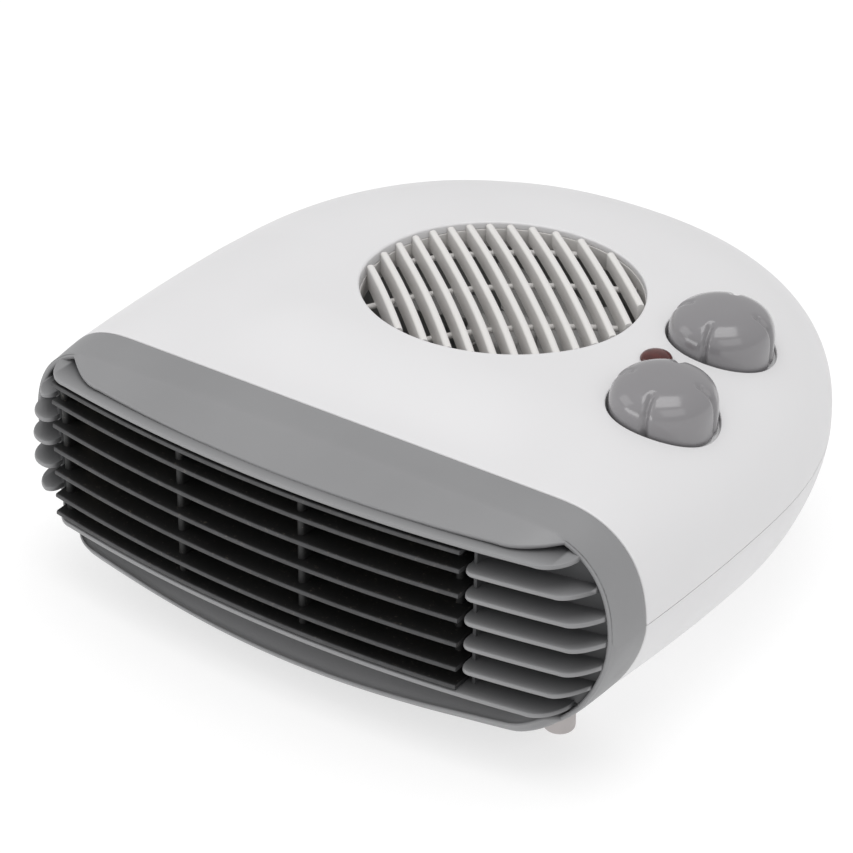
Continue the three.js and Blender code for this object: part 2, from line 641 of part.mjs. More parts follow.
function controlBracket() {
  const [front, rear] = PANEL_ENDS;
  const length = Math.hypot(rear[0] - front[0], rear[1] - front[1]);
  const along = [(rear[0] - front[0]) / length, (rear[1] - front[1]) / length];
  const across = [along[1], -along[0]];
  const place = (s, t) => [front[0] + along[0] * s + across[0] * t, front[1] + along[1] * s + across[1] * t];
  const w = PANEL_HALF_WIDTH;
  const sheet = slab([place(0, -w), place(length, -w), place(length, w), place(0, w)], [PANEL_Z, PANEL_Z + PANEL_THICKNESS]);
  const flange = slab([place(0, -w), place(length, -w), place(length, 1.2 - w), place(0, 1.2 - w)], [74, PANEL_Z + 0.5]);
  return cut(
    join(sheet, flange),
    [SELECTOR, THERMOSTAT].map((at) => rod(5.2, at, [70, 90])),
    PANEL_SCREWS.map((at) => rod(1.8, at, [70, 90], 10)),
  );
}

function controlNut(at) {
  const z = PANEL_Z + PANEL_THICKNESS + CLEARANCE;
  return cut(rod(7.2, at, [z, z + 2.4], 6), rod(4.8 + CLEARANCE, at, [70, 90]));
}

// Pan-head screw; its head is at headZ and its shank points up or down.
function screw(at, headZ, tipZ, headRadius, shankRadius) {
  const up = Math.sign(tipZ - headZ);
  const headHeight = headRadius * 0.6;
  const span = (a, b) => [Math.min(a, b), Math.max(a, b)];
  const head = rod(headRadius, at, span(headZ - up * headHeight, headZ), 12);
  const shank = rod(shankRadius, at, span(headZ - up * 0.2, tipZ), 8);
  const [x, y] = at;
  const slotZ = span(headZ - up * (headHeight + 1), headZ - up * (headHeight - 0.9));
  const slot = box([x - 0.5, x + 0.5], [y - headRadius * 0.7, y + headRadius * 0.7], slotZ);
  return cut(join(head, shank), slot);
}

function indicatorLens() {
  const { radius, barrel, seatZ } = LENS;
  const profile = [[3.4, 90], [barrel, 90], [barrel, seatZ - 0.01], [radius, seatZ], [radius, seatZ + 0.5]];
  const steps = 3;
  for (let i = 1; i <= steps; i += 1) {
    const angle = ((Math.PI / 2) * i) / steps;
    profile.push([i === steps ? 0 : (radius - 0.4) * Math.cos(angle), seatZ + 0.5 + 1.9 * Math.sin(angle)]);
  }
  profile.push([0, 98], [2.4, 97.6], [3.4, 96.4], [3.4, 90]);
  return turned(profile, LENS.at, 18);
}

function neonLamp() {
  return turned([[0, 84], [2.7, 84], [2.7, 94], [1.5, 95.9], [0, 96.3]], LENS.at, 12);
}

// ---- Fan and motor ------------------------------------------------------------------------------

function impeller() {
  const { radius, hubRadius, bottomZ, topZ, blades, bladeAngle } = IMPELLER;
  const hubTop = topZ - 2;
  const rim = [[hubRadius, bottomZ], [hubRadius, hubTop - 2], [hubRadius - 2, hubTop]];
  const hub = turned([[0, bottomZ], ...rim, [0, hubTop]], FAN, 24);
  const radii = [hubRadius - 1.5, 24, 35, radius];
  const chord = 4;
  const thickness = 1.6;
  const wings = [];
  for (let blade = 0; blade < blades; blade += 1) {
    const middle = (360 / blades) * blade + 20;
    const loops = radii.map((r) => {
      const point = (t, side) => {
        const angle = THREE.MathUtils.degToRad(middle + bladeAngle * (t - 0.5));
        const z = THREE.MathUtils.lerp(bottomZ + 2, topZ - 1, t) + (side * thickness) / 2;
        return [FAN[0] + r * Math.cos(angle), FAN[1] + r * Math.sin(angle), z];
      };
      const under = [];
      const over = [];
      for (let i = 0; i <= chord; i += 1) {
        under.push(point(i / chord, -1));
        over.unshift(point(i / chord, 1));
      }
      return [...under, ...over];
    });
    wings.push(stacked(loops));
  }
  return cut(join(hub, wings), rod(SHAFT_RADIUS + CLEARANCE, FAN, [bottomZ - 1, hubTop - 3], 12));
}

function motorShaft() {
  return rod(SHAFT_RADIUS, FAN, [31.6, IMPELLER.topZ - 5.4], 12);
}

function motorRotor() {
  const [z0, z1] = MOTOR.stackZ;
  return cut(rod(MOTOR.rotorRadius, FAN, [z0 - 1, z1 + 1], 24), rod(SHAFT_RADIUS + CLEARANCE, FAN, [z0 - 5, z1 + 5], 12));
}

// Lamination pack: a block round the rotor and a back limb that carries the coil.
function motorStator() {
  const [x, y] = FAN;
  const pack = box([x - 24, x + 24], [y - 52, y + 22], MOTOR.stackZ);
  const window = box([x - 12, x + 12], [y - 40, y - 22], [30, 70]);
  const bore = rod(MOTOR.boreRadius, FAN, [30, 70], 28);
  const bridgeGap = box([x - 1.2, x + 1.2], [y - 23, y - 12], [30, 70]);
  const holes = [-CLAMP_X, CLAMP_X].map((dx) => rod(1.9, [x + dx, y], [30, 70], 10));
  return cut(pack, window, bore, bridgeGap, holes);
}

function motorCoil() {
  const [x, y] = FAN;
  const [z0, z1] = MOTOR.stackZ;
  const winding = box([x - 9.5, x + 9.5], [y - 58, y - 34], [z0 - 6, z1 + 6]);
  const cheeks = [-10.5, 10.5].map((dx) => box([x + dx - 1, x + dx + 1], [y - 60, y - 32], [z0 - 8, z1 + 8]));
  const limb = box([x - 30, x + 30], [y - 52 - CLEARANCE, y - 40 + CLEARANCE], [z0 - CLEARANCE, z1 + CLEARANCE]);
  return cut(join(winding, cheeks), limb);
}

function motorBracketUpper() {
  const [x, y] = FAN;
  const z = MOTOR.plateZ[1];
  const strap = box([x - 24, x + 24], [y - 6, y + 6], [z, z + MOTOR_PLATE]);
  const housing = rod(6.5, FAN, [z - 1.5, z + 4.5]);
  const spacers = [-CLAMP_X, CLAMP_X].map((dx) => rod(4, [x + dx, y], [MOTOR.stackZ[1] + CLEARANCE, z + 0.5], 12));
  const holes = [-CLAMP_X, CLAMP_X].map((dx) => rod(1.9, [x + dx, y], [50, 70], 10));
  return cut(join(strap, housing, spacers), rod(3.8, FAN, [50, 70]), holes);
}

function motorBracketLower() {
  const [x, y] = FAN;
  const z = MOTOR.plateZ[0];
  const strap = box([x - MOUNT_X - 5, x + MOUNT_X + 5], [y - 6, y + 6], [z, z + MOTOR_PLATE]);
  const housing = rod(6.5, FAN, [30, z + 3]);
  const spacers = [-CLAMP_X, CLAMP_X].map((dx) => rod(4, [x + dx, y], [z, MOTOR.stackZ[0] - CLEARANCE], 12));
  const clampHoles = [-CLAMP_X, CLAMP_X].map((dx) => rod(1.9, [x + dx, y], [20, 50], 10));
  const mountHoles = [-MOUNT_X, MOUNT_X].map((dx) => rod(2, [x + dx, y], [20, 50], 10));
  return cut(join(strap, housing, spacers), rod(3.8, FAN, [31.2, 50]), clampHoles, mountHoles);
}

function bearing(z0, z1) {
  return turned([[2.25, z0], [3.5, z0], [3.5, z1], [2.25, z1], [2.25, z0]], FAN, 14);
}

// ---- Duct and heater ----------------------------------------------------------------------------

// Plan of the duct's inside: as wide as the outlet in front, closing in round the fan.
function ductPlan(grow) {
  const radius = DUCT.radius + grow;
  const points = [[DUCT.rightX + grow, DUCT.frontY]];
  const steps = 18;
  for (let i = 0; i <= steps; i += 1) {
    const angle = THREE.MathUtils.degToRad(THREE.MathUtils.lerp(-20, 205, i / steps));
    points.push([FAN[0] + radius * Math.cos(angle), FAN[1] + radius * Math.sin(angle)]);
  }
  points.push([DUCT.leftX - grow, DUCT.frontY]);
  return points;
}

function airDuct() {
  const { wall, floorZ } = DUCT;
  const block = slab(ductPlan(wall), [floorZ, 100]);
  const inside = slab([[DUCT.rightX, 0], ...ductPlan(0), [DUCT.leftX, 0]], [floorZ + wall, 110]);
  const posts = [-MOUNT_X, MOUNT_X].map((dx) =>
    rod(5, [FAN[0] + dx, FAN[1]], [floorZ + 0.5, MOTOR.plateZ[0] - CLEARANCE], 14));
  const holes = [-MOUNT_X, MOUNT_X].map((dx) => rod(1.6, [FAN[0] + dx, FAN[1]], [27, 40], 8));
  const rim = rod(COLLAR.outer + 1, FAN, [COLLAR.bottomZ - 2, 110], 40);
  return cut(join(cut(block, inside), posts), holes, rim).intersect(casing(WALL + 0.8, -10));
}

function heaterFrame() {
  const { x, y, z, wall } = HEATER;
  const block = box(x, y, z);
  const inside = box([x[0] + wall, x[1] - wall], [y[0] - 1, y[1] + 1], [z[0] + wall, z[1] - wall]);
  const ribs = [-62, -16, 30].map((at) => box([at - 1, at + 1], [-9.5, -3.5], [z[0] + 1, z[1] - 1]));
  return join(cut(block, inside), ribs);
}

// One corrugated heating ribbon, folded into rows between the sides of the frame.
function heatingRibbon([y0, y1]) {
  const rowCount = 4;
  const waves = 11;
  const left = HEATER.x[0] + HEATER.wall + 2;
  const right = HEATER.x[1] - HEATER.wall - 2;
  const rowGap = 11.5;
  const firstZ = HEATER.z[0] + 9;
  const amplitude = 3;
  const thickness = 0.7;
  const centre = [];
  for (let row = 0; row < rowCount; row += 1) {
    for (let i = 0; i <= waves; i += 1) {
      const t = row % 2 === 0 ? i / waves : 1 - i / waves;
      const swing = i === 0 || i === waves ? 0 : amplitude * (i % 2 === 0 ? 1 : -1);
      centre.push([THREE.MathUtils.lerp(left, right, t), firstZ + row * rowGap + swing]);
    }
  }
  const sideLine = (sign) => centre.map(([x, z], i) => {
    const [ax, az] = centre[Math.max(0, i - 1)];
    const [bx, bz] = centre[Math.min(centre.length - 1, i + 1)];
    const length = Math.hypot(bx - ax, bz - az);
    return [x - (sign * thickness * (bz - az)) / length / 2, z + (sign * thickness * (bx - ax)) / length / 2];
  });
  const outline = [...sideLine(1), ...sideLine(-1).reverse()];
  const loops = [y0, y1].map((y) => outline.map(([x, z]) => [x, y, z]));
  return stacked(loops);
}

function thermalCutout() {
  const z = HEATER.z[1] + CLEARANCE;
  return join(box([8, 26], [-12, -4], [z, z + 1]), rod(3.8, [17, -8], [z, z + 3.6]));
}

function thermalFuse() {
  const z = HEATER.z[1] + CLEARANCE + 2;
  return join(bar(1.9, [-18, -8, z], [-7, -8, z], 10), bar(0.5, [-26, -8, z], [1, -8, z], 6));
}

// ---- Base fittings ------------------------------------------------------------------------------

function foot(at) {
  const { radius, pegRadius, topZ } = FOOT;
  const profile = [
    [0, 0], [radius - 0.8, 0], [radius, 0.8], [radius, topZ], [pegRadius, topZ], [pegRadius, 13.4], [0, 13.4],
  ];
  return turned(profile, at, 20);
}

function terminalBlock() {
  const block = box([-15, 15], [163, 177], [UNDERSIDE_Z + WALL + CLEARANCE, 24]);
  const wireHoles = [-10, 0, 10].map((x) => bar(2, [x, 160, 16], [x, 180, 16], 8));
  const screwHoles = [-10, 0, 10].map((x) => rod(2.2, [x, 170], [18.5, 30], 8));
  return cut(block, wireHoles, screwHoles);
}

// Strain-relief bush in the rear wall, where the mains cord comes out.
function cordGland() {
  const { x, z, radius, flange, bore, outerY, flangeY, innerY } = GLAND;
  const piece = join(
    bar(flange, [x, flangeY, z], [x, outerY, z], 18),
    bar(radius, [x, innerY, z], [x, flangeY + 0.5, z], 14),
    bar(flange - 0.6, [x, innerY - 2, z], [x, innerY + 0.5, z], 16),
  );
  return cut(piece, bar(bore, [x, 190, z], [x, 225, z], 12));
}

// ---- Assembly -----------------------------------------------------------------------------------

const material = (color, roughness, metalness = 0) =>
  new THREE.MeshStandardMaterial({ color, roughness, metalness });
const WHITE = material(0xe8e7e9, 0.45);
const WARM_WHITE = material(0xe4e0da, 0.5);
const GREY = material(0x8a8c8f, 0.5);
const KNOB_GREY = material(0x8b8b8e, 0.2);
const BLACK = material(0x1b1b1c, 0.6);
const RED = material(0x8a3b35, 0.15);
const GLASS = material(0xe8c8b0, 0.1);
const STEEL = material(0xb4b6b8, 0.35, 1);
const DARK = material(0x2b2b2e, 0.55);
const FAN_GREY = material(0x7e7e7e, 0.45);
const COPPER = material(0xa9622f, 0.4, 0.9);
const BRONZE = material(0x9a7440, 0.4, 1);
const MICA = material(0xc9bfa2, 0.7);
const NICHROME = material(0x77706a, 0.4, 1);

const heater = new THREE.Group();
heater.position.set(0, -CENTRE_Y, 0);

function addPiece(name, solid, finish) {
  const mesh = new THREE.Mesh(geometryOf(solid), finish.clone());
  mesh.name = name;
  heater.add(mesh);
}

addPiece('top_shell', topShell(), WHITE);
addPiece('base_shell', baseShell(), WHITE);
addPiece('front_bezel', frontBezel(), GREY);
addPiece('outlet_grille', outletGrille(), BLACK);
addPiece('intake_grille', intakeGrille(), WARM_WHITE);

addPiece('selector_knob', knob(SELECTOR), KNOB_GREY);
addPiece('thermostat_knob', knob(THERMOSTAT), KNOB_GREY);
addPiece('selector_spindle', spindle(SELECTOR, 100), STEEL);
addPiece('thermostat_spindle', spindle(THERMOSTAT, 100), STEEL);
addPiece('selector_switch_body', selectorSwitch(), DARK);
addPiece('thermostat_body', thermostatBody(), MICA);
addPiece('control_bracket', controlBracket(), STEEL);
addPiece('selector_nut', controlNut(SELECTOR), STEEL);
addPiece('thermostat_nut', controlNut(THERMOSTAT), STEEL);
PANEL_SCREWS.forEach((at, i) => {
  addPiece(`bracket_screw_${['front', 'rear'][i]}`, screw(at, PANEL_Z - CLEARANCE, 89, 3, 1.1), STEEL);
});
addPiece('indicator_lens', indicatorLens(), RED);
addPiece('neon_lamp', neonLamp(), GLASS);

addPiece('impeller', impeller(), FAN_GREY);
addPiece('motor_shaft', motorShaft(), STEEL);
addPiece('motor_rotor', motorRotor(), STEEL);
addPiece('motor_stator', motorStator(), DARK);
addPiece('motor_coil', motorCoil(), COPPER);
addPiece('motor_bracket_upper', motorBracketUpper(), STEEL);
addPiece('motor_bracket_lower', motorBracketLower(), STEEL);
addPiece('motor_bearing_upper', bearing(59, 64), BRONZE);
addPiece('motor_bearing_lower', bearing(32, 37), BRONZE);
[-1, 1].forEach((side) => {
  const name = side < 0 ? 'left' : 'right';
  const clampAt = [FAN[0] + side * CLAMP_X, FAN[1]];
  const mountAt = [FAN[0] + side * MOUNT_X, FAN[1]];
  const clampHeadZ = MOTOR.plateZ[1] + MOTOR_PLATE + CLEARANCE;
  const mountHeadZ = MOTOR.plateZ[0] + MOTOR_PLATE + CLEARANCE;
  addPiece(`motor_clamp_screw_${name}`, screw(clampAt, clampHeadZ, 33, 3, 1.5), STEEL);
  addPiece(`motor_mount_screw_${name}`, screw(mountAt, mountHeadZ, 28, 3.2, 1.3), STEEL);
});

addPiece('air_duct', airDuct(), DARK);
addPiece('heater_frame', heaterFrame(), MICA);
addPiece('heating_element_front', heatingRibbon([-17, -10]), NICHROME);
addPiece('heating_element_rear', heatingRibbon([-3, 4]), NICHROME);
addPiece('thermal_cutout', thermalCutout(), DARK);
addPiece('thermal_fuse', thermalFuse(), STEEL);

const cornerNames = ['left', 'right'];
FRONT_FEET.forEach((at, i) => addPiece(`foot_front_${cornerNames[i]}`, foot(at), WHITE));
REAR_FEET.forEach((at, i) => addPiece(`foot_rear_${cornerNames[i]}`, foot(at), WHITE));
CASE_SCREWS.forEach((at, i) => {
  const name = `case_screw_${i < 2 ? 'front' : 'rear'}_${cornerNames[i % 2]}`;
  addPiece(name, screw(at, CASE_POST.shoulderZ - CLEARANCE, CASE_POST.screwTopZ, 3.6, 1.6), STEEL);
});
addPiece('terminal_block', terminalBlock(), WARM_WHITE);
addPiece('cord_gland', cordGland(), BLACK);

export default heater;
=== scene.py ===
"""Flat fan heater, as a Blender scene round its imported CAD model.

Shapes are drawn in the CAD part's own millimetres, with y = 0 where the grey bezel meets the white
shells, and are moved back by CENTRE_Y and scaled to metres when they become objects.
"""

import math

import bmesh
import bpy
import numpy as np
from mathutils import Matrix, Vector
from mathutils.bvhtree import BVHTree


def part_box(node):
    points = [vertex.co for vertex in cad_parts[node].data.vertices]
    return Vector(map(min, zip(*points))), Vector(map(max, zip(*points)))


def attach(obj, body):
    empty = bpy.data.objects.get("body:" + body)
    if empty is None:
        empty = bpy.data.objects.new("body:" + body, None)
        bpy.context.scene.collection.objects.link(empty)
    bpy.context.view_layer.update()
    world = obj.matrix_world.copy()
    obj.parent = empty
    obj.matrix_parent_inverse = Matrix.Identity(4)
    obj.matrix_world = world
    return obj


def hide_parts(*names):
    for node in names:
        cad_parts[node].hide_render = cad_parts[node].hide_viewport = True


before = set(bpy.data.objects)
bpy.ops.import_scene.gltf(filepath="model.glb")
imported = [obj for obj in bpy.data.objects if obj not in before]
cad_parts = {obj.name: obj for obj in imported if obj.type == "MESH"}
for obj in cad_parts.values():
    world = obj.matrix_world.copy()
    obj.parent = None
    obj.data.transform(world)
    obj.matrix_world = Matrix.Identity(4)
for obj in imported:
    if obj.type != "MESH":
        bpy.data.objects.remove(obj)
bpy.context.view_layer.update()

# ---- Dimensions, as in the CAD part, in millimetres ----

CENTRE_Y = 86.25
CLEARANCE = 0.3
WALL = 2.5

HALF_WIDTH = 125.97
WIDEST_Y = 78
SIDE_BULGE = 4
BACK_REACH = 135.7
PLAN_POWER = 2.15
PARTING_Z = 55.7
TOP_RISE = 39.5
TOP_SLOPE = 0.06
TOP_CROWN = 2.53
BASE_DROP = 47.7
TOP_ROUND = (35, 67.6)
BASE_ROUND = (36, 28.8)
TOP_POWER = 2.53
BASE_POWER = 1.585
ROUND_FULL_Y = 93
LEAN = 0.1
LEAN_END_Y = 60
FRONT_HALF = HALF_WIDTH - SIDE_BULGE

NOSE_Y = -41.7
NOSE_CURVE = 0.00094
NOSE_LEAN = 0.026
RING_FRONT_Y = -20
RING_TAPER = 2.2
RING_LIP = 1.4
RING_DEPTH = 4.2
FIN_THICKNESS = 1.8
FIN_NOSE_ROUND = 0.75
FIN_REAR_Y = -14.0
WEB_Y = (-15.8, -14)
TOP_FIN = (87.4, 106.5)
BOTTOM_FIN = (29.3, 106)
SIDE_FINS = ((77.4, 114), (67.8, 117.6), (58.2, 118.4), (48.6, 117.3), (39.0, 113.5))
LEFT_EXTRA_REACH = (0.0, 0.0, 0.4, 1.6, 2.4)
LEFT_FULLNESS = 1.0
FIN_CORNER = 10
FIN_INNER_CORNER = 3.5
FULL_FIN_EXTRA = 0.8
FULL_FIN_FULLNESS = 0.75
OUTLET_X = (-105, 73.5)
RECESS_DEPTH = 12.5
GRILLE_X = (-103, 72)
GRILLE_Z = (84.6, 77.4, 67.8, 58.2, 48.6, 39.0, 31.8)
GRILLE_BARS_X = (-100, -43, 9.5, 67)
GRILLE_REAR_Y = -24
GRILLE_THICKNESS = 1.8
GRILLE_NOSE_ROUND = 0.6
GRILLE_BAR_HALF = 1.5
GRILLE_BAR_REAR_Y = -22
GRILLE_END_BAR_Y = -29.0

FAN = (1, 97.4)
INTAKE_RADIUS = 51.75
SLAT_PITCH = 7.43
SLAT_COUNT = 13
SLAT_THICKNESS = 2.7
SLAT_ANGLE = math.radians(-43.3)
SLAT_OFFSET = 1.5
SLAT_CURVE = 0.00075
SLAT_BOTTOM_Z = 89.6
SLAT_SINK = 0.7
SLAT_ROUND = 0.9
SLAT_BARS = (-42.4, -16.6, 13.9, 42)
BAR_RADIUS = 1.1
BAR_REACH = 51.2
BAR_CURVE = 0.0038
BAR_CURVE_START = -9
INTAKE_TILT = (0.08, 0.03)
TILT_FADE_X = (40, 74)
TILT_FADE_Y = (50, 96)
COLLAR_TOP_Z = 94.4
COLLAR_INNER = INTAKE_RADIUS - 1
COLLAR_OUTER = 54.4

SELECTOR = (88.9, 62.3)
THERMOSTAT = (81.6, 114.3)
POCKET_RADIUS = 19.7
POCKET_FLOOR_Z = 89.2
POCKET_WALL = 1.5
KNOB_RADIUS = 18.8
KNOB_BASE_Z = 89.8
LENS_AT = (72.3, 85.3)
LENS_SEAT_Z = 98.8
REAR_FEET = ((-58, 160), (58, 160))
CASE_SCREWS = ((-103, 26), (103, 26), (-42, 178), (42, 178))
BOSS_RADIUS = 6
BOSS_COVER = 1.2
SCREW_RADIUS = 1.9
SCREW_HEAD_RADIUS = 4.2
SPINDLE_HOLE_RADIUS = 4.2
LENS_HOLE_RADIUS = 5.3
FOOT_PEG_RADIUS = 2.8
GLAND_HOLE_RADIUS = 5.3
GLAND_Z = 43

# ---- Mesh helpers ----

SHARP_ANGLE = 32


def lerp(a, b, t):
    return a + (b - a) * t


def add_object(name, data):
    obj = bpy.data.objects.new(name, data)
    bpy.context.scene.collection.objects.link(obj)
    return obj


def solid(name, parts, fill=False):
    """One object from (vertices, faces) pairs in design millimetres; fill closes what is left open."""
    verts = []
    faces = []
    for part_verts, part_faces in parts:
        start = len(verts)
        verts.extend((x / 1000, (y - CENTRE_Y) / 1000, z / 1000) for x, y, z in part_verts)
        faces.extend(tuple(i + start for i in face) for face in part_faces)
    mesh = bpy.data.meshes.new(name)
    mesh.from_pydata(verts, [], faces)
    work = bmesh.new()
    work.from_mesh(mesh)
    bmesh.ops.remove_doubles(work, verts=work.verts, dist=1e-7)
    if fill:
        bmesh.ops.holes_fill(work, edges=[e for e in work.edges if e.is_boundary], sides=0)
    bmesh.ops.recalc_face_normals(work, faces=work.faces)
    work.to_mesh(mesh)
    work.free()
    return add_object(name, mesh)


def finish_piece(obj, finish, node, body="casing", sharp_angle=SHARP_ANGLE):
    """The piece gets a material and the slot of that name, stands for a CAD node and rides on a body."""
    mesh = obj.data
    mesh.polygons.foreach_set("use_smooth", [True] * len(mesh.polygons))
    mesh.set_sharp_from_angle(angle=math.radians(sharp_angle))
    mesh.materials.clear()
    mesh.materials.append(MATERIALS[finish])
    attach(obj, body)
    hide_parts(node)
    return obj


def add_piece(name, parts, finish, node, body="casing", sharp_angle=SHARP_ANGLE):
    return finish_piece(solid(name, parts), finish, node, body, sharp_angle)


def loft(sections, ring=False):
    """Skins equal closed sections; a ring of sections joins up with itself and needs no ends."""
    sections = np.asarray(sections, float)
    rows, count = sections.shape[:2]
    faces = []
    for row in range(rows if ring else rows - 1):
        here = row * count
        following = ((row + 1) % rows) * count
        for i in range(count):
            j = (i + 1) % count
            faces.append((here + i, here + j, following + j, following + i))
    if not ring:
        faces.append(tuple(reversed(range(count))))
        faces.append(tuple((rows - 1) * count + i for i in range(count)))
    return sections.reshape(-1, 3), faces


def turned(profile, centre, segments, displace=None):
    """Body of revolution about an upright axis; the (radius, z) profile begins and ends on the axis."""
    verts = []
    faces = []
    rows = len(profile)
    for r, z in profile[1:-1]:
        for i in range(segments):
            angle = 2 * math.pi * i / segments
            own_r, own_z = displace(r, z, angle) if displace else (r, z)
            verts.append((centre[0] + own_r * math.cos(angle), centre[1] + own_r * math.sin(angle), own_z))
    for row in range(rows - 3):
        for i in range(segments):
            j = (i + 1) % segments
            a = row * segments
            faces.append((a + i, a + j, a + segments + j, a + segments + i))
    for end, start in ((0, 0), (rows - 1, (rows - 3) * segments)):
        middle = len(verts)
        verts.append((centre[0], centre[1], profile[end][1]))
        for i in range(segments):
            j = (i + 1) % segments
            faces.append((middle, start + i, start + j))
    return verts, faces


def rod(radius, start, end, segments):
    """Round bar between two points, as a cutter or an addition."""
    start = np.asarray(start, float)
    end = np.asarray(end, float)
    along = (end - start) / np.linalg.norm(end - start)
    side = np.cross(along, (0, 0, 1) if abs(along[2]) < 0.9 else (1, 0, 0))
    side /= np.linalg.norm(side)
    other = np.cross(along, side)
    angles = [2 * math.pi * i / segments for i in range(segments)]
    sections = []
    for at in (start, end):
        sections.append([at + side * radius * math.cos(a) + other * radius * math.sin(a) for a in angles])
    return loft(sections)


def extruded(outline, z):
    return loft([[(x, y, height) for x, y in outline] for height in z])


def block(x, y, z):
    """Upright web with slightly broken edges."""
    edge = 0.25
    section = [
        (x[0] + edge, y[0]), (x[1] - edge, y[0]), (x[1], y[0] + edge), (x[1], y[1] - edge),
        (x[1] - edge, y[1]), (x[0] + edge, y[1]), (x[0], y[1] - edge), (x[0], y[0] + edge),
    ]
    return extruded(section, z)


def boolean(obj, other, operation):
    modifier = obj.modifiers.new("cut", "BOOLEAN")
    modifier.operation = operation
    modifier.solver = "EXACT"
    modifier.object = other
    graph = bpy.context.evaluated_depsgraph_get()
    result = bpy.data.meshes.new_from_object(obj.evaluated_get(graph))
    obj.modifiers.clear()
    obj.data = result
    bpy.data.objects.remove(other)


def cut(obj, parts):
    boolean(obj, solid("cutter", parts), "DIFFERENCE")


def join(obj, parts):
    boolean(obj, solid("addition", parts), "UNION")


def keep_inside(obj, parts):
    boolean(obj, solid("limit", parts), "INTERSECT")


# ---- Casing surface ----


EDGE_STOPS = (0, 0.1, 0.3, 0.6, 1.0)


def plan_outline(count):
    """Right-hand half of the plan outline with its outward normals, evenly spaced after the first stops."""
    y = np.linspace(0, WIDEST_Y, 800, endpoint=False)
    side = np.stack([HALF_WIDTH - SIDE_BULGE * (1 - y / WIDEST_Y) ** 2, y], 1)
    angle = np.linspace(0, math.pi / 2, 6000)
    back = np.stack([
        HALF_WIDTH * np.cos(angle).clip(0) ** (2 / PLAN_POWER),
        WIDEST_Y + BACK_REACH * np.sin(angle) ** (2 / PLAN_POWER),
    ], 1)
    dense = np.concatenate([side, back])
    travel = np.concatenate([[0], np.cumsum(np.hypot(*np.diff(dense, axis=0).T))])
    stops = np.concatenate([EDGE_STOPS, np.linspace(1, travel[-1], count)[1:]])

    def place(at):
        return np.stack([np.interp(at, travel, dense[:, k]) for k in (0, 1)], 1)

    points = place(stops)
    tangent = place(np.minimum(stops + 0.4, travel[-1])) - place(np.maximum(stops - 0.4, 0))
    tangent /= np.linalg.norm(tangent, axis=1)[:, None]
    normal = np.stack([tangent[:, 1], -tangent[:, 0]], 1)
    normal[-1] = (0, 1)
    near = np.minimum(1, points[:, 1] / 20)
    normal[:, 0] = 1 + (normal[:, 0] - 1) * near
    return points, normal


def top_rise(y):
    return TOP_RISE + TOP_SLOPE * y - TOP_CROWN * (y / 100) ** 2


def smooth(edge0, edge1, value):
    t = np.clip((np.asarray(value, float) - edge0) / (edge1 - edge0), 0, 1)
    return t * t * (3 - 2 * t)


def intake_tilt(x, y):
    """The top round the intake leans gently backwards, fading out towards the edges of the casing."""
    along = np.asarray(y, float) - FAN[1]
    fade = 1 - smooth(*TILT_FADE_X, np.abs(np.asarray(x, float) - FAN[0]))
    fade = fade * (1 - smooth(*TILT_FADE_Y, np.abs(along)))
    slope = lerp(INTAKE_TILT[0], INTAKE_TILT[1], smooth(-20, 20, along))
    return -slope * along * fade


def top_z(x, y):
    """Height of the casing's top at one point."""
    return PARTING_Z + float(top_rise(y) + intake_tilt(x, y))


def lean_at(y, z):
    return -LEAN * (z - PARTING_Z) * (1 - np.minimum(1, np.maximum(0, y) / LEAN_END_Y))


def casing_half(level, wall, outline, front_y=None):
    """Right-hand half of one loop of the casing surface; level runs from -1 at the underside to 1 on top."""
    points, normal = outline
    upper = level >= 0
    power = 2 / (TOP_POWER if upper else BASE_POWER)
    across = max(0.0, math.cos(abs(level) * math.pi / 2)) ** power
    rise = math.sin(abs(level) * math.pi / 2) ** power
    front_round, back_round = TOP_ROUND if upper else BASE_ROUND
    y = points[:, 1]
    rounding = lerp(front_round, back_round, np.minimum(1, y / ROUND_FULL_Y))
    inset = wall + (rounding - wall) * (1 - across)
    inset_y = y - normal[:, 1] * inset * np.minimum(1, y / LEAN_END_Y)
    drop = np.full_like(y, BASE_DROP)
    z = PARTING_Z + (top_rise(inset_y) - wall if upper else wall - drop) * rise
    own_y = inset_y.copy()
    if front_y is not None:
        own_y[0] = front_y
    return np.stack([points[:, 0] - normal[:, 0] * inset, own_y + lean_at(inset_y, z), z], 1)


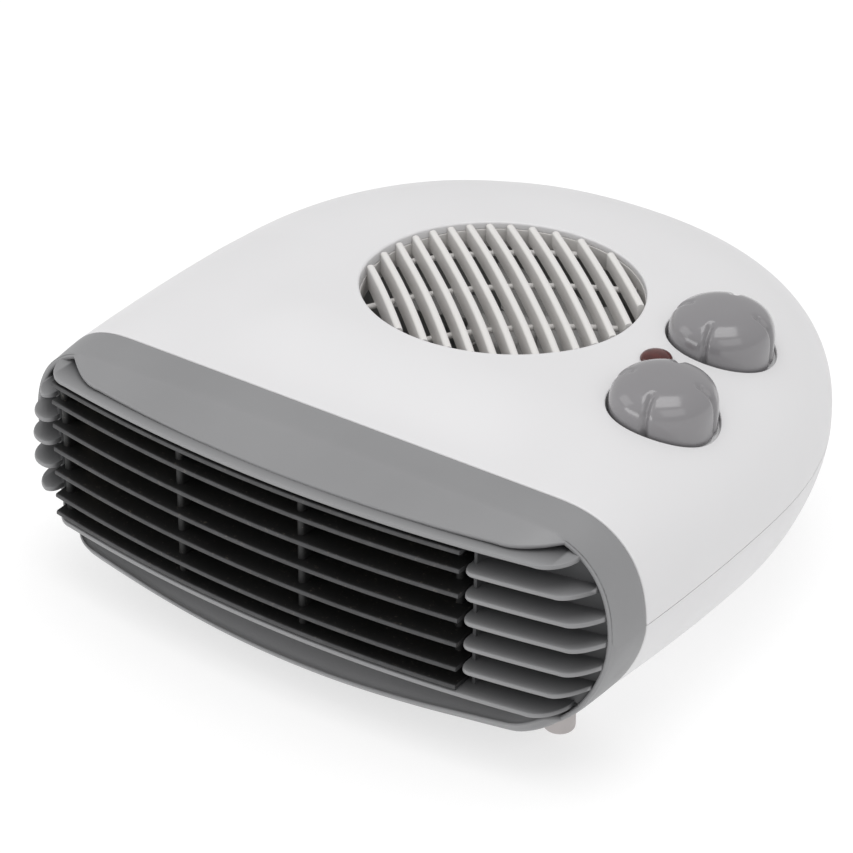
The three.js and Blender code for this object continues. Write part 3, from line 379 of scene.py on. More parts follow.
def casing_block(levels, wall, count, columns, front_y=None, edge_round=0.0, seam_gap=0.0):
    """The casing between the first and last level, open in front; both end faces are split into columns."""
    outline = plan_outline(count)
    halves = np.array([casing_half(level, wall, outline, front_y) for level in levels])
    halves[0, :, 2] += seam_gap
    if edge_round:
        # The front edge is eased: the first stations sink below the surface along its normal.
        normals = np.cross(np.gradient(halves, axis=1), np.gradient(halves, axis=0))
        normals /= np.maximum(1e-9, np.linalg.norm(normals, axis=2))[:, :, None]
        middle = np.array([0, 60, PARTING_Z])
        outward = np.sign(((halves - middle) * normals).sum(2))[:, :, None]
        eased = len(EDGE_STOPS)
        short = np.clip(edge_round - outline[0][:eased, 1], 0, edge_round)
        sink = edge_round - np.sqrt(np.maximum(0, edge_round ** 2 - short ** 2))
        halves[:, :eased] -= (normals * outward)[:, :eased] * sink[None, :, None]
    rows, stations = halves.shape[:2]
    mirrored = halves[:, ::-1] * (-1, 1, 1)
    loops = np.concatenate([halves, mirrored], axis=1)
    width = loops.shape[1]
    verts = [tuple(v) for v in loops.reshape(-1, 3)]
    faces = []
    for row in range(rows - 1):
        for i in range(width - 1):
            a = row * width + i
            faces.append((a, a + 1, a + 1 + width, a + width))
    for row in (0, rows - 1):
        lines = []
        for i in range(stations):
            right = row * width + i
            left = row * width + width - 1 - i
            line = [right]
            for k in range(1, columns):
                line.append(len(verts))
                verts.append(tuple(lerp(loops[row, i], loops[row, width - 1 - i], k / columns)))
            lines.append(line + [left])
        for i in range(stations - 1):
            for k in range(columns):
                faces.append((lines[i][k], lines[i][k + 1], lines[i + 1][k + 1], lines[i + 1][k]))
    verts = np.array(verts, float)
    verts[:, 2] += intake_tilt(verts[:, 0], verts[:, 1]) * smooth(80, 92, verts[:, 2])
    return [tuple(v) for v in verts], faces


OUTLINE_COUNT = 120
LEVEL_COUNT = 44
COLUMN_COUNT = 40
INNER_COUNT = 50
INNER_LEVELS = 16
INNER_COLUMNS = 12
FRONT_EDGE_ROUND = 0.6
HOLLOW_FRONT_Y = -10


def shell_object(name, upper):
    """Hollow shell above or below the seam."""
    sign = 1 if upper else -1
    levels = sign * np.linspace(0, 1, LEVEL_COUNT + 1)
    gap = sign * CLEARANCE / 2
    outer = casing_block(levels, 0, OUTLINE_COUNT, COLUMN_COUNT, edge_round=FRONT_EDGE_ROUND, seam_gap=gap)
    shell = solid(name, [outer], fill=True)
    inner_levels = np.linspace(-1, 1, 2 * INNER_LEVELS + 1)
    inner = casing_block(inner_levels, WALL, INNER_COUNT, INNER_COLUMNS, front_y=HOLLOW_FRONT_Y)
    return shell, solid("hollow", [inner], fill=True)


def surface_of(obj, from_below=False):
    """Function giving the height of an object's upper surface, or its underside, at a design point."""
    tree = BVHTree.FromObject(obj, bpy.context.evaluated_depsgraph_get())
    start, heading = (-1, 1) if from_below else (1, -1)

    def height(x, y):
        hit = tree.ray_cast(Vector((x / 1000, (y - CENTRE_Y) / 1000, start)), Vector((0, 0, heading)))
        return hit[0].z * 1000

    return height


def rim_height(height, at, radius, choose):
    """Lowest or highest surface height round a circle."""
    angles = np.linspace(0, 2 * math.pi, 12, endpoint=False)
    return choose(height(at[0] + radius * math.cos(a), at[1] + radius * math.sin(a)) for a in angles)


FLARE_TURN = math.radians(74)
ABOVE_CASING_Z = 125


def flared_hole(centre, radius, flare, bottom_z, height, segments):
    """Cutter for a round hole whose rim is eased where it meets a curved surface."""
    sections = []
    for i in range(segments):
        angle = 2 * math.pi * i / segments
        direction = (math.cos(angle), math.sin(angle))
        reach = radius + flare
        rim_z = height(centre[0] + reach * direction[0], centre[1] + reach * direction[1])
        line = [(radius, bottom_z), (radius, rim_z - flare)]
        for k in range(1, 6):
            turn = FLARE_TURN * k / 5
            line.append((radius + flare * (1 - math.cos(turn)), rim_z - flare + flare * math.sin(turn)))
        line.append((line[-1][0] + 0.8, rim_z + 3))
        line.append((line[-1][0], ABOVE_CASING_Z))
        sections.append([(centre[0] + r * direction[0], centre[1] + r * direction[1], z) for r, z in line])
    return loft(np.array(sections).transpose(1, 0, 2))


# ---- Materials ----


class Shade:
    """A node material, built up from a Principled shader."""

    def __init__(self, name, color, roughness, metallic=0.0, specular=0.5, coat=0.0):
        self.name = name
        self.material = bpy.data.materials.new(name)
        self.material.use_nodes = True
        self.tree = self.material.node_tree
        self.shader = self.tree.nodes["Principled BSDF"]
        self.color = color
        self.set(self.shader, {
            "Base Color": (*color, 1), "Roughness": roughness, "Metallic": metallic,
            "Specular IOR Level": specular, "Coat Weight": coat, "Coat Roughness": 0.12,
        })
        self.place = self.add("TexCoord").outputs["Object"]

    def set(self, node, values):
        for name, value in values.items():
            node.inputs[name].default_value = value

    def add(self, kind, values=None):
        node = self.tree.nodes.new("ShaderNode" + kind)
        self.set(node, values or {})
        return node

    def link(self, source, target):
        self.tree.links.new(source, target)

    def noise(self, scale, detail=3.0, rough=0.5, stretch=(1, 1, 1)):
        mapping = self.add("Mapping", {"Scale": stretch})
        self.link(self.place, mapping.inputs["Vector"])
        node = self.add("TexNoise", {"Scale": scale, "Detail": detail, "Roughness": rough})
        self.link(mapping.outputs["Vector"], node.inputs["Vector"])
        return node.outputs["Fac"]

    def ramp(self, source, low, high, out_low=0.0, out_high=1.0):
        limits = {"From Min": low, "From Max": high, "To Min": out_low, "To Max": out_high}
        node = self.add("MapRange", limits)
        self.link(source, node.inputs["Value"])
        return node.outputs["Result"]

    def times(self, a, b):
        node = self.add("Math")
        node.operation = "MULTIPLY"
        for value, socket in ((a, node.inputs[0]), (b, node.inputs[1])):
            if isinstance(value, (int, float)):
                socket.default_value = value
            else:
                self.link(value, socket)
        return node.outputs["Value"]

    def tint(self, factor, color):
        """Mixes another colour into the base colour by a factor."""
        node = self.add("Mix")
        node.data_type = "RGBA"
        target = self.shader.inputs["Base Color"]
        if target.is_linked:
            self.link(target.links[0].from_socket, node.inputs["A"])
        else:
            node.inputs["A"].default_value = (*self.color, 1)
        node.inputs["B"].default_value = (*color, 1)
        self.link(factor, node.inputs["Factor"])
        self.link(node.outputs["Result"], target)

    def gloss(self, source, low, high):
        """Roughness varies between low and high with a 0..1 source."""
        self.link(self.ramp(source, 0.3, 0.7, low, high), self.shader.inputs["Roughness"])

    def bump(self, source, depth):
        """Adds surface relief; depth is in metres."""
        node = self.add("Bump", {"Strength": 1.0, "Distance": depth})
        target = self.shader.inputs["Normal"]
        if target.is_linked:
            self.link(target.links[0].from_socket, node.inputs["Normal"])
        self.link(source, node.inputs["Height"])
        self.link(node.outputs["Normal"], target)

    def attribute(self, name):
        node = self.add("Attribute")
        node.attribute_name = name
        return node.outputs["Fac"]


def moulded(name, color, roughness, mottle, grain=2.5e-5, specular=0.5, coat=0.0, dust=0.0):
    """Moulded plastic: fine grain, slow colour drift, a little dust and uneven gloss."""
    shade = Shade(name, color, roughness, specular=specular, coat=coat)
    slow = shade.noise(22, 4)
    shade.tint(shade.ramp(slow, 0.35, 0.75, 0, 1), tuple(c * (1 - mottle) for c in color))
    if dust:
        specks = shade.ramp(shade.noise(900, 2, 0.6), 0.66, 0.72, 0, dust)
        shade.tint(specks, (0.36, 0.30, 0.24))
    shade.gloss(shade.noise(60, 5, 0.6), roughness * 0.88, roughness * 1.14)
    shade.bump(shade.noise(1500, 3, 0.6), grain)
    return shade


def metal(name, color, roughness, stretch, scale):
    """Drawn or rolled metal with faint brushing and stains."""
    shade = Shade(name, color, roughness, metallic=1.0)
    brushed = shade.noise(scale * 6, 4, 0.7, stretch)
    shade.gloss(brushed, roughness * 0.75, roughness * 1.4)
    shade.tint(shade.ramp(shade.noise(scale, 5), 0.45, 0.8), tuple(c * 0.72 for c in color))
    shade.bump(brushed, 6e-6)
    return shade


# Colour and roughness.
WHITE_PLASTICS = {
    "white_shell": ((0.715, 0.71, 0.718), 0.42),
    "warm_white": ((0.72, 0.705, 0.69), 0.45),
    "foot_white": ((0.47, 0.44, 0.435), 0.5),
}
# Colour, roughness, mottling and dust.
DUSTY_PLASTICS = {
    "dark_plastic": ((0.028, 0.028, 0.031), 0.5, 0.25, 0.35),
    "fan_grey": ((0.36, 0.355, 0.35), 0.4, 0.15, 0.4),
    "duct_grey": ((0.34, 0.34, 0.34), 0.5, 0.25, 0.35),
}
# Colour, roughness, stretch of the brushing and its scale.
METALS = {
    "steel": ((0.55, 0.56, 0.57), 0.32, (1, 1, 30), 60),
    "stator_steel": ((0.22, 0.22, 0.235), 0.45, (1, 1, 120), 30),
    "bronze": ((0.48, 0.32, 0.15), 0.38, (1, 1, 30), 60),
    "nichrome": ((0.24, 0.21, 0.19), 0.42, (1, 1, 30), 60),
}


def make_materials():
    """Every material by name: those in the tables, and the ones with details of their own."""
    shades = []
    for name, (color, roughness) in WHITE_PLASTICS.items():
        shades.append(moulded(name, color, roughness, mottle=0.015, grain=1.2e-5, specular=0.4))
    grey = moulded("grey_bezel", (0.247, 0.247, 0.252), 0.46, mottle=0.08, grain=2e-5)
    # Painted shade: the bezel turns darker towards the back of the recess between the fins, by its 'deep'
    # value.
    grey.tint(grey.times(grey.attribute("deep"), 0.88), (0.045, 0.046, 0.048))
    knobs = moulded("knob_grey", (0.222, 0.216, 0.224), 0.17, 0.03, 1.5e-6, specular=0.6, coat=0.25)
    black = moulded("black_grille", (0.011, 0.011, 0.011), 0.5, mottle=0.2, grain=2e-5)
    # The slats' front edges are painted lighter: partly wear and dust, partly a painted highlight line.
    edge_wear_and_highlight = black.ramp(black.noise(160, 6, 0.7), 0.35, 0.75, 0.35, 0.75)
    black.tint(black.times(black.attribute("edge"), edge_wear_and_highlight), (0.07, 0.07, 0.074))
    specks = black.ramp(black.noise(700, 3, 0.7), 0.62, 0.70, 0, 0.35)
    black.tint(specks, (0.20, 0.17, 0.14))
    for name, (color, roughness, mottle, dust) in DUSTY_PLASTICS.items():
        shades.append(moulded(name, color, roughness, mottle=mottle, dust=dust))
    shades += [metal(name, *finish) for name, finish in METALS.items()]
    copper = Shade("copper", (0.46, 0.17, 0.065), 0.35, metallic=0.85)
    strands = copper.noise(40, 2, 0.5, (1, 1, 90))
    copper.gloss(strands, 0.25, 0.5)
    copper.tint(copper.ramp(strands, 0.45, 0.65), (0.20, 0.065, 0.025))
    copper.bump(strands, 1.5e-4)
    mica = Shade("mica", (0.50, 0.44, 0.32), 0.6)
    flakes = mica.noise(140, 6, 0.7, (1, 1, 3))
    mica.tint(mica.ramp(flakes, 0.42, 0.66), (0.30, 0.25, 0.16))
    mica.gloss(flakes, 0.45, 0.75)
    mica.bump(flakes, 5e-5)
    lens = Shade("lens_red", (0.15, 0.028, 0.024), 0.08, specular=0.6)
    lens.set(lens.shader, {"Transmission Weight": 0.35, "IOR": 1.49})
    cloud = lens.noise(260, 3)
    lens.tint(lens.ramp(cloud, 0.3, 0.8), (0.07, 0.014, 0.012))
    lens.gloss(cloud, 0.07, 0.13)
    lamp = Shade("lamp_glass", (0.75, 0.55, 0.42), 0.1, specular=0.6)
    smoke = lamp.noise(300, 3)
    lamp.tint(lamp.ramp(smoke, 0.4, 0.8), (0.5, 0.34, 0.25))
    lamp.gloss(smoke, 0.06, 0.16)
    shades += [grey, knobs, black, copper, mica, lens, lamp]
    return {shade.name: shade.material for shade in shades}


MATERIALS = make_materials()

CAD_FINISH = {
    "selector_switch_body": "dark_plastic",
    "thermostat_body": "mica",
    "neon_lamp": "lamp_glass",
    "motor_rotor": "stator_steel",
    "motor_stator": "stator_steel",
    "motor_coil": "copper",
    "motor_bearing": "bronze",
    "air_duct": "duct_grey",
    "heater_frame": "mica",
    "heating_element": "nichrome",
    "thermal_cutout": "dark_plastic",
    "terminal_block": "warm_white",
}


def finish_cad_nodes():
    """Gives every carried-over CAD node its finish; spindles, brackets, nuts and screws are steel."""
    for name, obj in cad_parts.items():
        finish = next((f for start, f in CAD_FINISH.items() if name.startswith(start)), "steel")
        obj.data.materials.clear()
        obj.data.materials.append(MATERIALS[finish])


finish_cad_nodes()

# ---- Shells ----


def pocket_cup(at, height):
    """Wall and floor of a knob pocket, ending inside the shell's wall."""
    outer = POCKET_RADIUS + POCKET_WALL
    sections = []
    steps = 64
    for i in range(steps):
        angle = 2 * math.pi * i / steps
        x = at[0] + outer * math.cos(angle)
        y = at[1] + outer * math.sin(angle)
        top = max(POCKET_FLOOR_Z - 1, height(x, y) - 1.2)
        sections.append([(x, y, POCKET_FLOOR_Z - 1.8), (x, y, top)])
    return loft(np.array(sections).transpose(1, 0, 2))


def round_wall(stops, segments=160):
    """Wall round the intake. Each stop is a radius, a reference and a height above that reference:
    the floor, the casing's surface, or the collar's top edge just under the shell."""
    sections = []
    for i in range(segments):
        angle = 2 * math.pi * i / segments
        x = FAN[0] + INTAKE_RADIUS * math.cos(angle)
        y = FAN[1] + INTAKE_RADIUS * math.sin(angle)
        surface = top_z(x, y)
        bases = {"floor": 0, "surface": surface, "collar": min(COLLAR_TOP_Z, surface - WALL - 0.4)}
        section = []
        for r, base, z in stops:
            section.append((FAN[0] + r * math.cos(angle), FAN[1] + r * math.sin(angle), bases[base] + z))
        sections.append(section[::-1])
    return loft(sections, ring=True)


def top_shell():
    """Top shell with its knob pockets, screw bosses, intake opening and lens hole."""
    shell, hollow = shell_object("top_shell_skin", True)
    height = surface_of(shell)
    boolean(shell, hollow, "DIFFERENCE")
    for at in (SELECTOR, THERMOSTAT):
        join(shell, [pocket_cup(at, height)])
    for at in CASE_SCREWS:
        cover = rim_height(height, at, BOSS_RADIUS, min) - BOSS_COVER
        join(shell, [rod(BOSS_RADIUS, (*at, 40.3), (*at, cover), 32)])
    lip = [(COLLAR_INNER, "collar", 0.25), (COLLAR_OUTER, "collar", 0.25)]
    lip += [(COLLAR_OUTER, "surface", -0.6), (COLLAR_INNER, "surface", -0.6)]
    join(shell, [round_wall(lip)])
    cut(shell, [flared_hole(FAN, INTAKE_RADIUS, 0.9, 80, height, 180)])
    for at in (SELECTOR, THERMOSTAT):
        cut(shell, [flared_hole(at, POCKET_RADIUS, 0.5, POCKET_FLOOR_Z, height, 110)])
        cut(shell, [rod(SPINDLE_HOLE_RADIUS, (*at, 80), (*at, 100), 48)])
    cut(shell, [flared_hole(LENS_AT, LENS_HOLE_RADIUS, 0.25, 85, height, 48)])
    for at in CASE_SCREWS:
        cut(shell, [rod(SCREW_RADIUS, (*at, 39), (*at, 61), 20)])
    finish_piece(shell, "white_shell", "top_shell")


def base_shell():
    """Base shell with its screw wells, peg holes for the rear feet and the hole for the cord gland."""
    shell, hollow = shell_object("base_shell_skin", False)
    depth = surface_of(shell, from_below=True)
    boolean(shell, hollow, "DIFFERENCE")
    for at in CASE_SCREWS:
        cover = rim_height(depth, at, BOSS_RADIUS, max) + BOSS_COVER
        join(shell, [rod(BOSS_RADIUS, (*at, cover), (*at, 40), 32)])
    for at in CASE_SCREWS:
        cut(shell, [rod(SCREW_HEAD_RADIUS, (*at, 0), (*at, 22), 40)])
        cut(shell, [rod(SCREW_RADIUS, (*at, 20), (*at, 50), 20)])
    for at in REAR_FEET:
        cut(shell, [rod(FOOT_PEG_RADIUS, (*at, 0), (*at, 14), 32)])
    cut(shell, [rod(GLAND_HOLE_RADIUS, (0, 190, GLAND_Z), (0, 230, GLAND_Z), 40)])
    finish_piece(shell, "white_shell", "base_shell")


top_shell()
base_shell()

# ---- Front bezel ----

CORNER_STEPS = 26


def front_half(upper):
    """Corner width, height and corner power of the front outline above or below the seam."""
    return (TOP_ROUND[0], TOP_RISE, TOP_POWER) if upper else (BASE_ROUND[0], BASE_DROP, BASE_POWER)


def front_outline(inset):
    """The casing's front outline in x and z, an inset inside its surface, anticlockwise from below."""
    def quarter(sign):
        width, height, power = front_half(sign > 0)
        points = []
        for i in range(CORNER_STEPS + 1):
            angle = math.pi / 2 * i / CORNER_STEPS
            x = (width - inset) * max(0.0, math.cos(angle)) ** (2 / power)
            z = (height - inset) * math.sin(angle) ** (2 / power)
            points.append((FRONT_HALF - width + x, PARTING_Z + sign * z))
        return points

    upper = quarter(1)
    lower = quarter(-1)
    right = lower[::-1][:-1] + upper
    top_run = [(x, upper[-1][1]) for x in np.linspace(upper[-1][0], 0, 32)[1:]]
    base_run = [(x, lower[-1][1]) for x in np.linspace(0, lower[-1][0], 32)[:-1]]
    half = base_run + right + top_run
    return half + [(-x, z) for x, z in half[-2:0:-1]]


def front_loop(inset, y, lean):
    return [(x, y - lean * LEAN * (z - PARTING_Z), z) for x, z in front_outline(inset)]


def nose_y(x, z):
    return NOSE_Y + NOSE_CURVE * x * x + NOSE_LEAN * (z - 60)


def edge_y(x, z, reach, corner=FIN_CORNER, setback=0.0, fullness=0.0):
    """Front edge of a fin or lip: the nose curve, bending back towards the ring at its outer end.

    A fullness of 0 bends back evenly and meets the end at an angle; towards 1 it rounds off squarely.
    """
    start = reach - corner
    bend = min(1.0, max(0.0, (abs(x) - start) / corner))
    straight = nose_y(min(abs(x), start), z) + setback
    end = RING_FRONT_Y - 0.5
    return end + (straight - end) * lerp(1 - bend * bend, math.sqrt(1 - bend * bend), fullness)


def edge_stations(reach, corner, start, spacing=4.0):
    """Places along one side's front edge, close together where its outer end is rounded."""
    straight = reach - corner
    count = max(1, int((straight - start) / spacing) + 1)
    stations = [float(x) for x in np.linspace(start, max(start, straight), count)]
    rounded = [straight + corner * math.sin(math.pi / 2 * i / 14) for i in range(1, 15)]
    return stations + [x for x in rounded if x > stations[-1] + 0.3]


def shelf_section(at, front, half, depth, rows, angles):
    """Section of a fin or slat at x and z: flat faces through the rows, joined by an eased front edge."""
    x, z = at
    section = [(x, y, z - half) for y in rows]
    section += [(x, front + depth * (1 - math.sin(a)), z - half * math.cos(a)) for a in angles]
    return section + [(x, y, z + half) for y in rows[::-1]]


def blade(stations, front, rear, z):
    """Thin fin between its front and rear edges, each given as a function of x."""
    angles = [math.pi * i / 6 for i in range(7)]
    sections = []
    for x in stations:
        near, far = front(x), rear(x)
        rows = [far] + [lerp(far, near + 1.5, t) for t in (0.25, 0.5, 0.75, 1.0)]
        depth = min(FIN_NOSE_ROUND, (far - near) / 3)
        sections.append(shelf_section((x, z), near, FIN_THICKNESS / 2, depth, rows, angles))
    return loft(sections)


def full_fin(z, reach):
    """Fin across the whole width, above or below the outlet."""
    reach += FULL_FIN_EXTRA
    corner = FIN_CORNER + FULL_FIN_EXTRA
    half = edge_stations(reach, corner, 0)[:-1]
    stations = [-x for x in half[:0:-1]] + half

    def front(x):
        return edge_y(x, z, reach, corner, fullness=FULL_FIN_FULLNESS)

    return blade(stations, front, lambda x: FIN_REAR_Y, z)


def side_fin(z, reach, inner_x, side, fullness=0.0):
    """Short fin beside the outlet; its inner end is rounded too."""
    start = inner_x + FIN_INNER_CORNER
    corner = [start - FIN_INNER_CORNER * math.cos(math.pi / 2 * i / 8) for i in range(8)]
    stations = corner + edge_stations(reach, FIN_CORNER, start, 2.5)
    start_y = edge_y(start, z, reach, fullness=fullness)
    rear_y = nose_y(inner_x, z) + RECESS_DEPTH + 1

    def front(x):
        if x >= start:
            return edge_y(x, z, reach, fullness=fullness)
        across = (start - x) / FIN_INNER_CORNER
        return start_y + FIN_INNER_CORNER * (1 - math.sqrt(max(0.0, 1 - across * across)))

    def rear(x):
        return lerp(rear_y, RING_FRONT_Y + 4.5, (x - inner_x) / (reach - inner_x))

    verts, faces = blade(stations, front, rear, z)
    return verts * (side, 1, 1), faces


def recess_walls(inner_x, side):
    """Return wall beside the outlet, turning into the curved back wall behind the short fins."""
    turn = 3.0
    nose = nose_y(inner_x, 60)
    back = nose + RECESS_DEPTH
    near = [(inner_x, nose + 7.0), (inner_x + 0.5, nose + 6.5), (inner_x + 1.5, nose + 6.6)]
    for i in range(7):
        angle = math.pi / 2 * i / 6
        near.append((inner_x + 1.6 + turn * (1 - math.cos(angle)), back - turn * (1 - math.sin(angle))))
    far = [(x, nose_y(x, 60) + RECESS_DEPTH) for x in np.linspace(inner_x + 8, 121, 16)]
    inside = near + far
    outside = [(x, y + 1.8) for x, y in far[::-1]] + [(inner_x, back + 1.8)]
    outline = [(side * x, y) for x, y in inside + outside]
    return extruded(outline, (BOTTOM_FIN[0], TOP_FIN[0]))


VISOR = {"reach": 102, "corner": 21, "setback": 4.2}
CHIN = {"reach": 103, "corner": 15, "setback": 4, "fullness": 1.0}
VISOR_NOSE_Z = 90
CHIN_NOSE_Z = 20
VISOR_SPREAD = 95
CREASE_Y = -17.0
CREASE_SWEEP = 2.6
RING_NARROWING = 1.25
RING_DRAFT = 0.05
RING_SLOPE = 0.16
VISOR_LIP_Z = 89.1
VISOR_LIP_RISE = 1.5
CHIN_SLOPE = 0.03
CHIN_CURL = ((0.0, 5.4), (0.5, 4.3), (1.2, 3.0), (2.4, 1.6), (4.5, 0.6), (9.0, 0.0))
CHIN_FLOOR = 6.4
CHIN_RAMP = 11.0
RAMP_END_Y = -15
RIM_INSIDE_END_Y = -13.2
CHIN_SWEEP = 0.0008
CHIN_END_LIFT = 4
CHIN_LIFT_START_Y = -13
RIM_ROUND = 0.8
RIM_THICKNESS = 1.9
CHIN_LIP_THICKNESS = 1.3


def rim_profile(x, z):
    """Section of the bezel's rim at one place on the front outline, as (inset, y, lift) stops.

    The ring runs forward to its lip; over the outlet it carries on as the visor and below it as the chin.
    """
    upper = z > PARTING_Z
    shelf = VISOR if upper else CHIN
    front = min(RING_FRONT_Y, edge_y(x, VISOR_NOSE_Z if upper else CHIN_NOSE_Z, **shelf))
    if abs(x) > shelf["reach"]:
        front = RING_FRONT_Y
    middle = edge_y(0, CHIN_NOSE_Z, **CHIN)
    share = (RING_FRONT_Y - front) / (RING_FRONT_Y - middle)
    chin_share = 0.0 if upper else min(1.0, share * 3)
    outward = min(1.0, abs(x) / VISOR_SPREAD)
    crease = CREASE_Y - (CREASE_SWEEP * outward ** 2 if upper else 0)
    if upper:
        lip_z = VISOR_LIP_Z + VISOR_LIP_RISE * outward ** 2
        drop = max(0.0, z - lip_z - RING_NARROWING - RING_DRAFT * (CREASE_Y - front))
        slope = lerp(RING_SLOPE, drop / max(0.5, crease - front), min(1.0, share * 7))
    else:
        slope = lerp(RING_SLOPE, CHIN_SLOPE, min(1.0, share * 2.5))

    def ring_inset(y):
        narrowing = RING_NARROWING * min(1.0, y / CREASE_Y) ** 1.3 + RING_DRAFT * max(0.0, CREASE_Y - y)
        return narrowing + max(0.0, crease - y) * slope

    def inset(y):
        depths, rises = zip(*CHIN_CURL)
        return ring_inset(y) + chin_share * float(np.interp(y - front, depths, rises))

    def lift(y):
        if upper:
            return 0.0
        beyond = max(0.0, abs(x) - (CHIN["reach"] - CHIN["corner"])) / CHIN["corner"]
        across = max(0.0, (abs(x) - FRONT_HALF + BASE_ROUND[0]) / BASE_ROUND[0]) ** BASE_POWER
        ring_lift = BASE_DROP * (1 - (1 - across) ** (1 / BASE_POWER))
        forward = max(0.0, (y - CHIN_LIFT_START_Y) / (middle - CHIN_LIFT_START_Y))
        extra = CHIN_SWEEP * x * x + CHIN_END_LIFT * beyond ** 2 - ring_lift
        return max(0.0, extra) * min(1.0, forward * 1.2)

    start = [(0.35, -CLEARANCE, 0.0), (0.1, -0.5, 0.0), (0.02, -0.9, 0.0)]
    runs = list(np.linspace(-2, crease, 9)) + list(np.linspace(crease, front + RIM_ROUND, 12)[1:])
    outside = start + [(inset(y), y, lift(y)) for y in runs]
    thickness = lerp(RIM_THICKNESS, CHIN_LIP_THICKNESS, chin_share)
    lip_inset = inset(front + RIM_ROUND)
    lip = []
    for i in range(1, 8):
        angle = math.pi * i / 8
        depth = lip_inset + thickness / 2 * (1 - math.cos(angle))
        lip.append((depth, front + RIM_ROUND * (1 - math.sin(angle)), lift(front)))
    floor = min(CHIN_FLOOR * chin_share, lip_inset + thickness)
    inside = []
    for y in np.linspace(front + RIM_ROUND, RAMP_END_Y, 10):
        back = max(0.0, (y - front - RIM_ROUND) / (RAMP_END_Y - front - RIM_ROUND))
        chin_inset = floor + CHIN_RAMP * chin_share * back ** 0.9
        inside.append((max(ring_inset(y) + RIM_THICKNESS, chin_inset), y, lift(y)))
    deep = RING_TAPER + RING_LIP + 0.6
    return outside + lip + inside + [(deep, RIM_INSIDE_END_Y, 0.0), (deep, -CLEARANCE, 0.0)]


def rim():
    """The whole rim: ring, visor and chin as one moulding."""
    places = front_outline(0)
    profiles = [rim_profile(x, z) for x, z in places]
    columns = []
    for stop in range(len(profiles[0])):
        column = []
        for i, profile in enumerate(profiles):
            inset, y, lift = profile[stop]
            x, z = inset_place(places[i], inset)
            lean = max(0.0, 1 + y / -RING_FRONT_Y)
            column.append((x, y - lean * LEAN * (z - PARTING_Z), z + lift))
        columns.append(column)
    return loft(columns, ring=True)


def inset_place(place, inset):
    """The same place on the front outline, moved in by an inset as front_outline does."""
    x, z = place
    side = math.copysign(1, x)
    round_x, rise, _ = front_half(z > PARTING_Z)
    start = FRONT_HALF - round_x
    if abs(x) > start:
        x = side * (start + (abs(x) - start) * (round_x - inset) / round_x)
    return x, PARTING_Z + (z - PARTING_Z) * (rise - inset) / rise


def front_bezel():
    """Rim, spigot, fins and webs as one moulding, and the walls of the closed pockets as another piece."""
    spigot = [(0.3, -4), (0.3, 5.6), (0.7, 6), (1.9, 6), (1.9, -4)]
    parts = [
        rim(),
        loft([front_loop(WALL + inset, y, 1) for inset, y in spigot], ring=True),
        full_fin(*TOP_FIN),
        full_fin(*BOTTOM_FIN),
        block((-97, 97), WEB_Y, (TOP_FIN[0], 91.8)),
        block((-84, 84), WEB_Y, (12, BOTTOM_FIN[0])),
    ]
    for (z, reach), extra in zip(SIDE_FINS, LEFT_EXTRA_REACH):
        parts.append(side_fin(z, reach, OUTLET_X[1] - 0.7, 1))
        parts.append(side_fin(z, reach + extra, -OUTLET_X[0] + 0.5, -1, LEFT_FULLNESS))
    bezel = solid("front_bezel_moulding", parts)
    # The 'deep' value paints shade into the recess behind the fins.
    mark(bezel, "deep", painted_recess_shade)
    finish_piece(bezel, "grey_bezel", "front_bezel")
    walls = [recess_walls(OUTLET_X[1], 1), recess_walls(-OUTLET_X[0], -1)]
    recess = solid("front_bezel_recess", walls)
    keep_inside(recess, [loft([front_loop(RING_TAPER + RING_LIP, y, 0) for y in (-60, 20)])])
    # The recess walls get the full painted shade.
    mark(recess, "deep", lambda x, y, z: 1.0)
    finish_piece(recess, "grey_bezel", "front_bezel")


def painted_recess_shade(x, y, z):
    """Painted shade for the bezel: 0 on the outside of the bezel and at the fins' front edges, rising to 1
    at the back of the fins.
    """
    corner, height, power = front_half(z > PARTING_Z)
    across = max(0.0, (abs(x) - FRONT_HALF + corner) / (corner - RING_DEPTH))
    up = abs(z - PARTING_Z) / (height - RING_DEPTH)
    if not BOTTOM_FIN[0] - 1.5 < z < TOP_FIN[0] + 1.5 or across ** power + up ** power > 1:
        return 0.0
    return min(1.0, max(0.0, (y - edge_y(x, z, 119) - 0.8) / 11))


def mark(obj, name, factor):
    """Stores a value at every vertex, such as how near it is to a front edge or how much painted shade it
    gets.
    """
    values = [factor(v.co.x * 1000, v.co.y * 1000 + CENTRE_Y, v.co.z * 1000) for v in obj.data.vertices]
    layer = obj.data.attributes.new(name, "FLOAT", "POINT")
    layer.data.foreach_set("value", values)


def outlet_grille():
    """Full-width slats following the nose, on upright bars behind their front edges."""
    stations = np.linspace(*GRILLE_X, 50)
    angles = [math.pi * i / 8 for i in range(1, 8)]
    half = GRILLE_THICKNESS / 2
    parts = []
    for z in GRILLE_Z:
        sections = []
        for x in stations:
            front = nose_y(x, z)
            rows = (GRILLE_REAR_Y, front + 6, front + 1.2)
            sections.append(shelf_section((x, z), front, half, GRILLE_NOSE_ROUND, rows, angles))
        parts.append(loft(sections))
    for x in GRILLE_BARS_X:
        at_end = x in (GRILLE_BARS_X[0], GRILLE_BARS_X[-1])
        front = GRILLE_END_BAR_Y if at_end else nose_y(x, 60) + 3.5
        r = GRILLE_BAR_HALF
        plan = [(x + r, GRILLE_BAR_REAR_Y), (x + r, front + r)]
        plan += [(x + r * math.cos(a), front + r * (1 - math.sin(a))) for a in angles]
        plan += [(x - r, front + r), (x - r, GRILLE_BAR_REAR_Y)]
        parts.append(extruded(plan, (GRILLE_Z[6] - 0.5, GRILLE_Z[0] + 0.5)))
    grille = add_piece("outlet_grille_bars", parts, "black_grille", "outlet_grille")
    # The front-edge value lightens the slats' front edges: partly wear and dust, partly a painted highlight.
    mark(grille, "edge", lambda x, y, z: float(y < nose_y(x, z) + 0.9))


front_bezel()
outlet_grille()

# ---- Intake grille ----


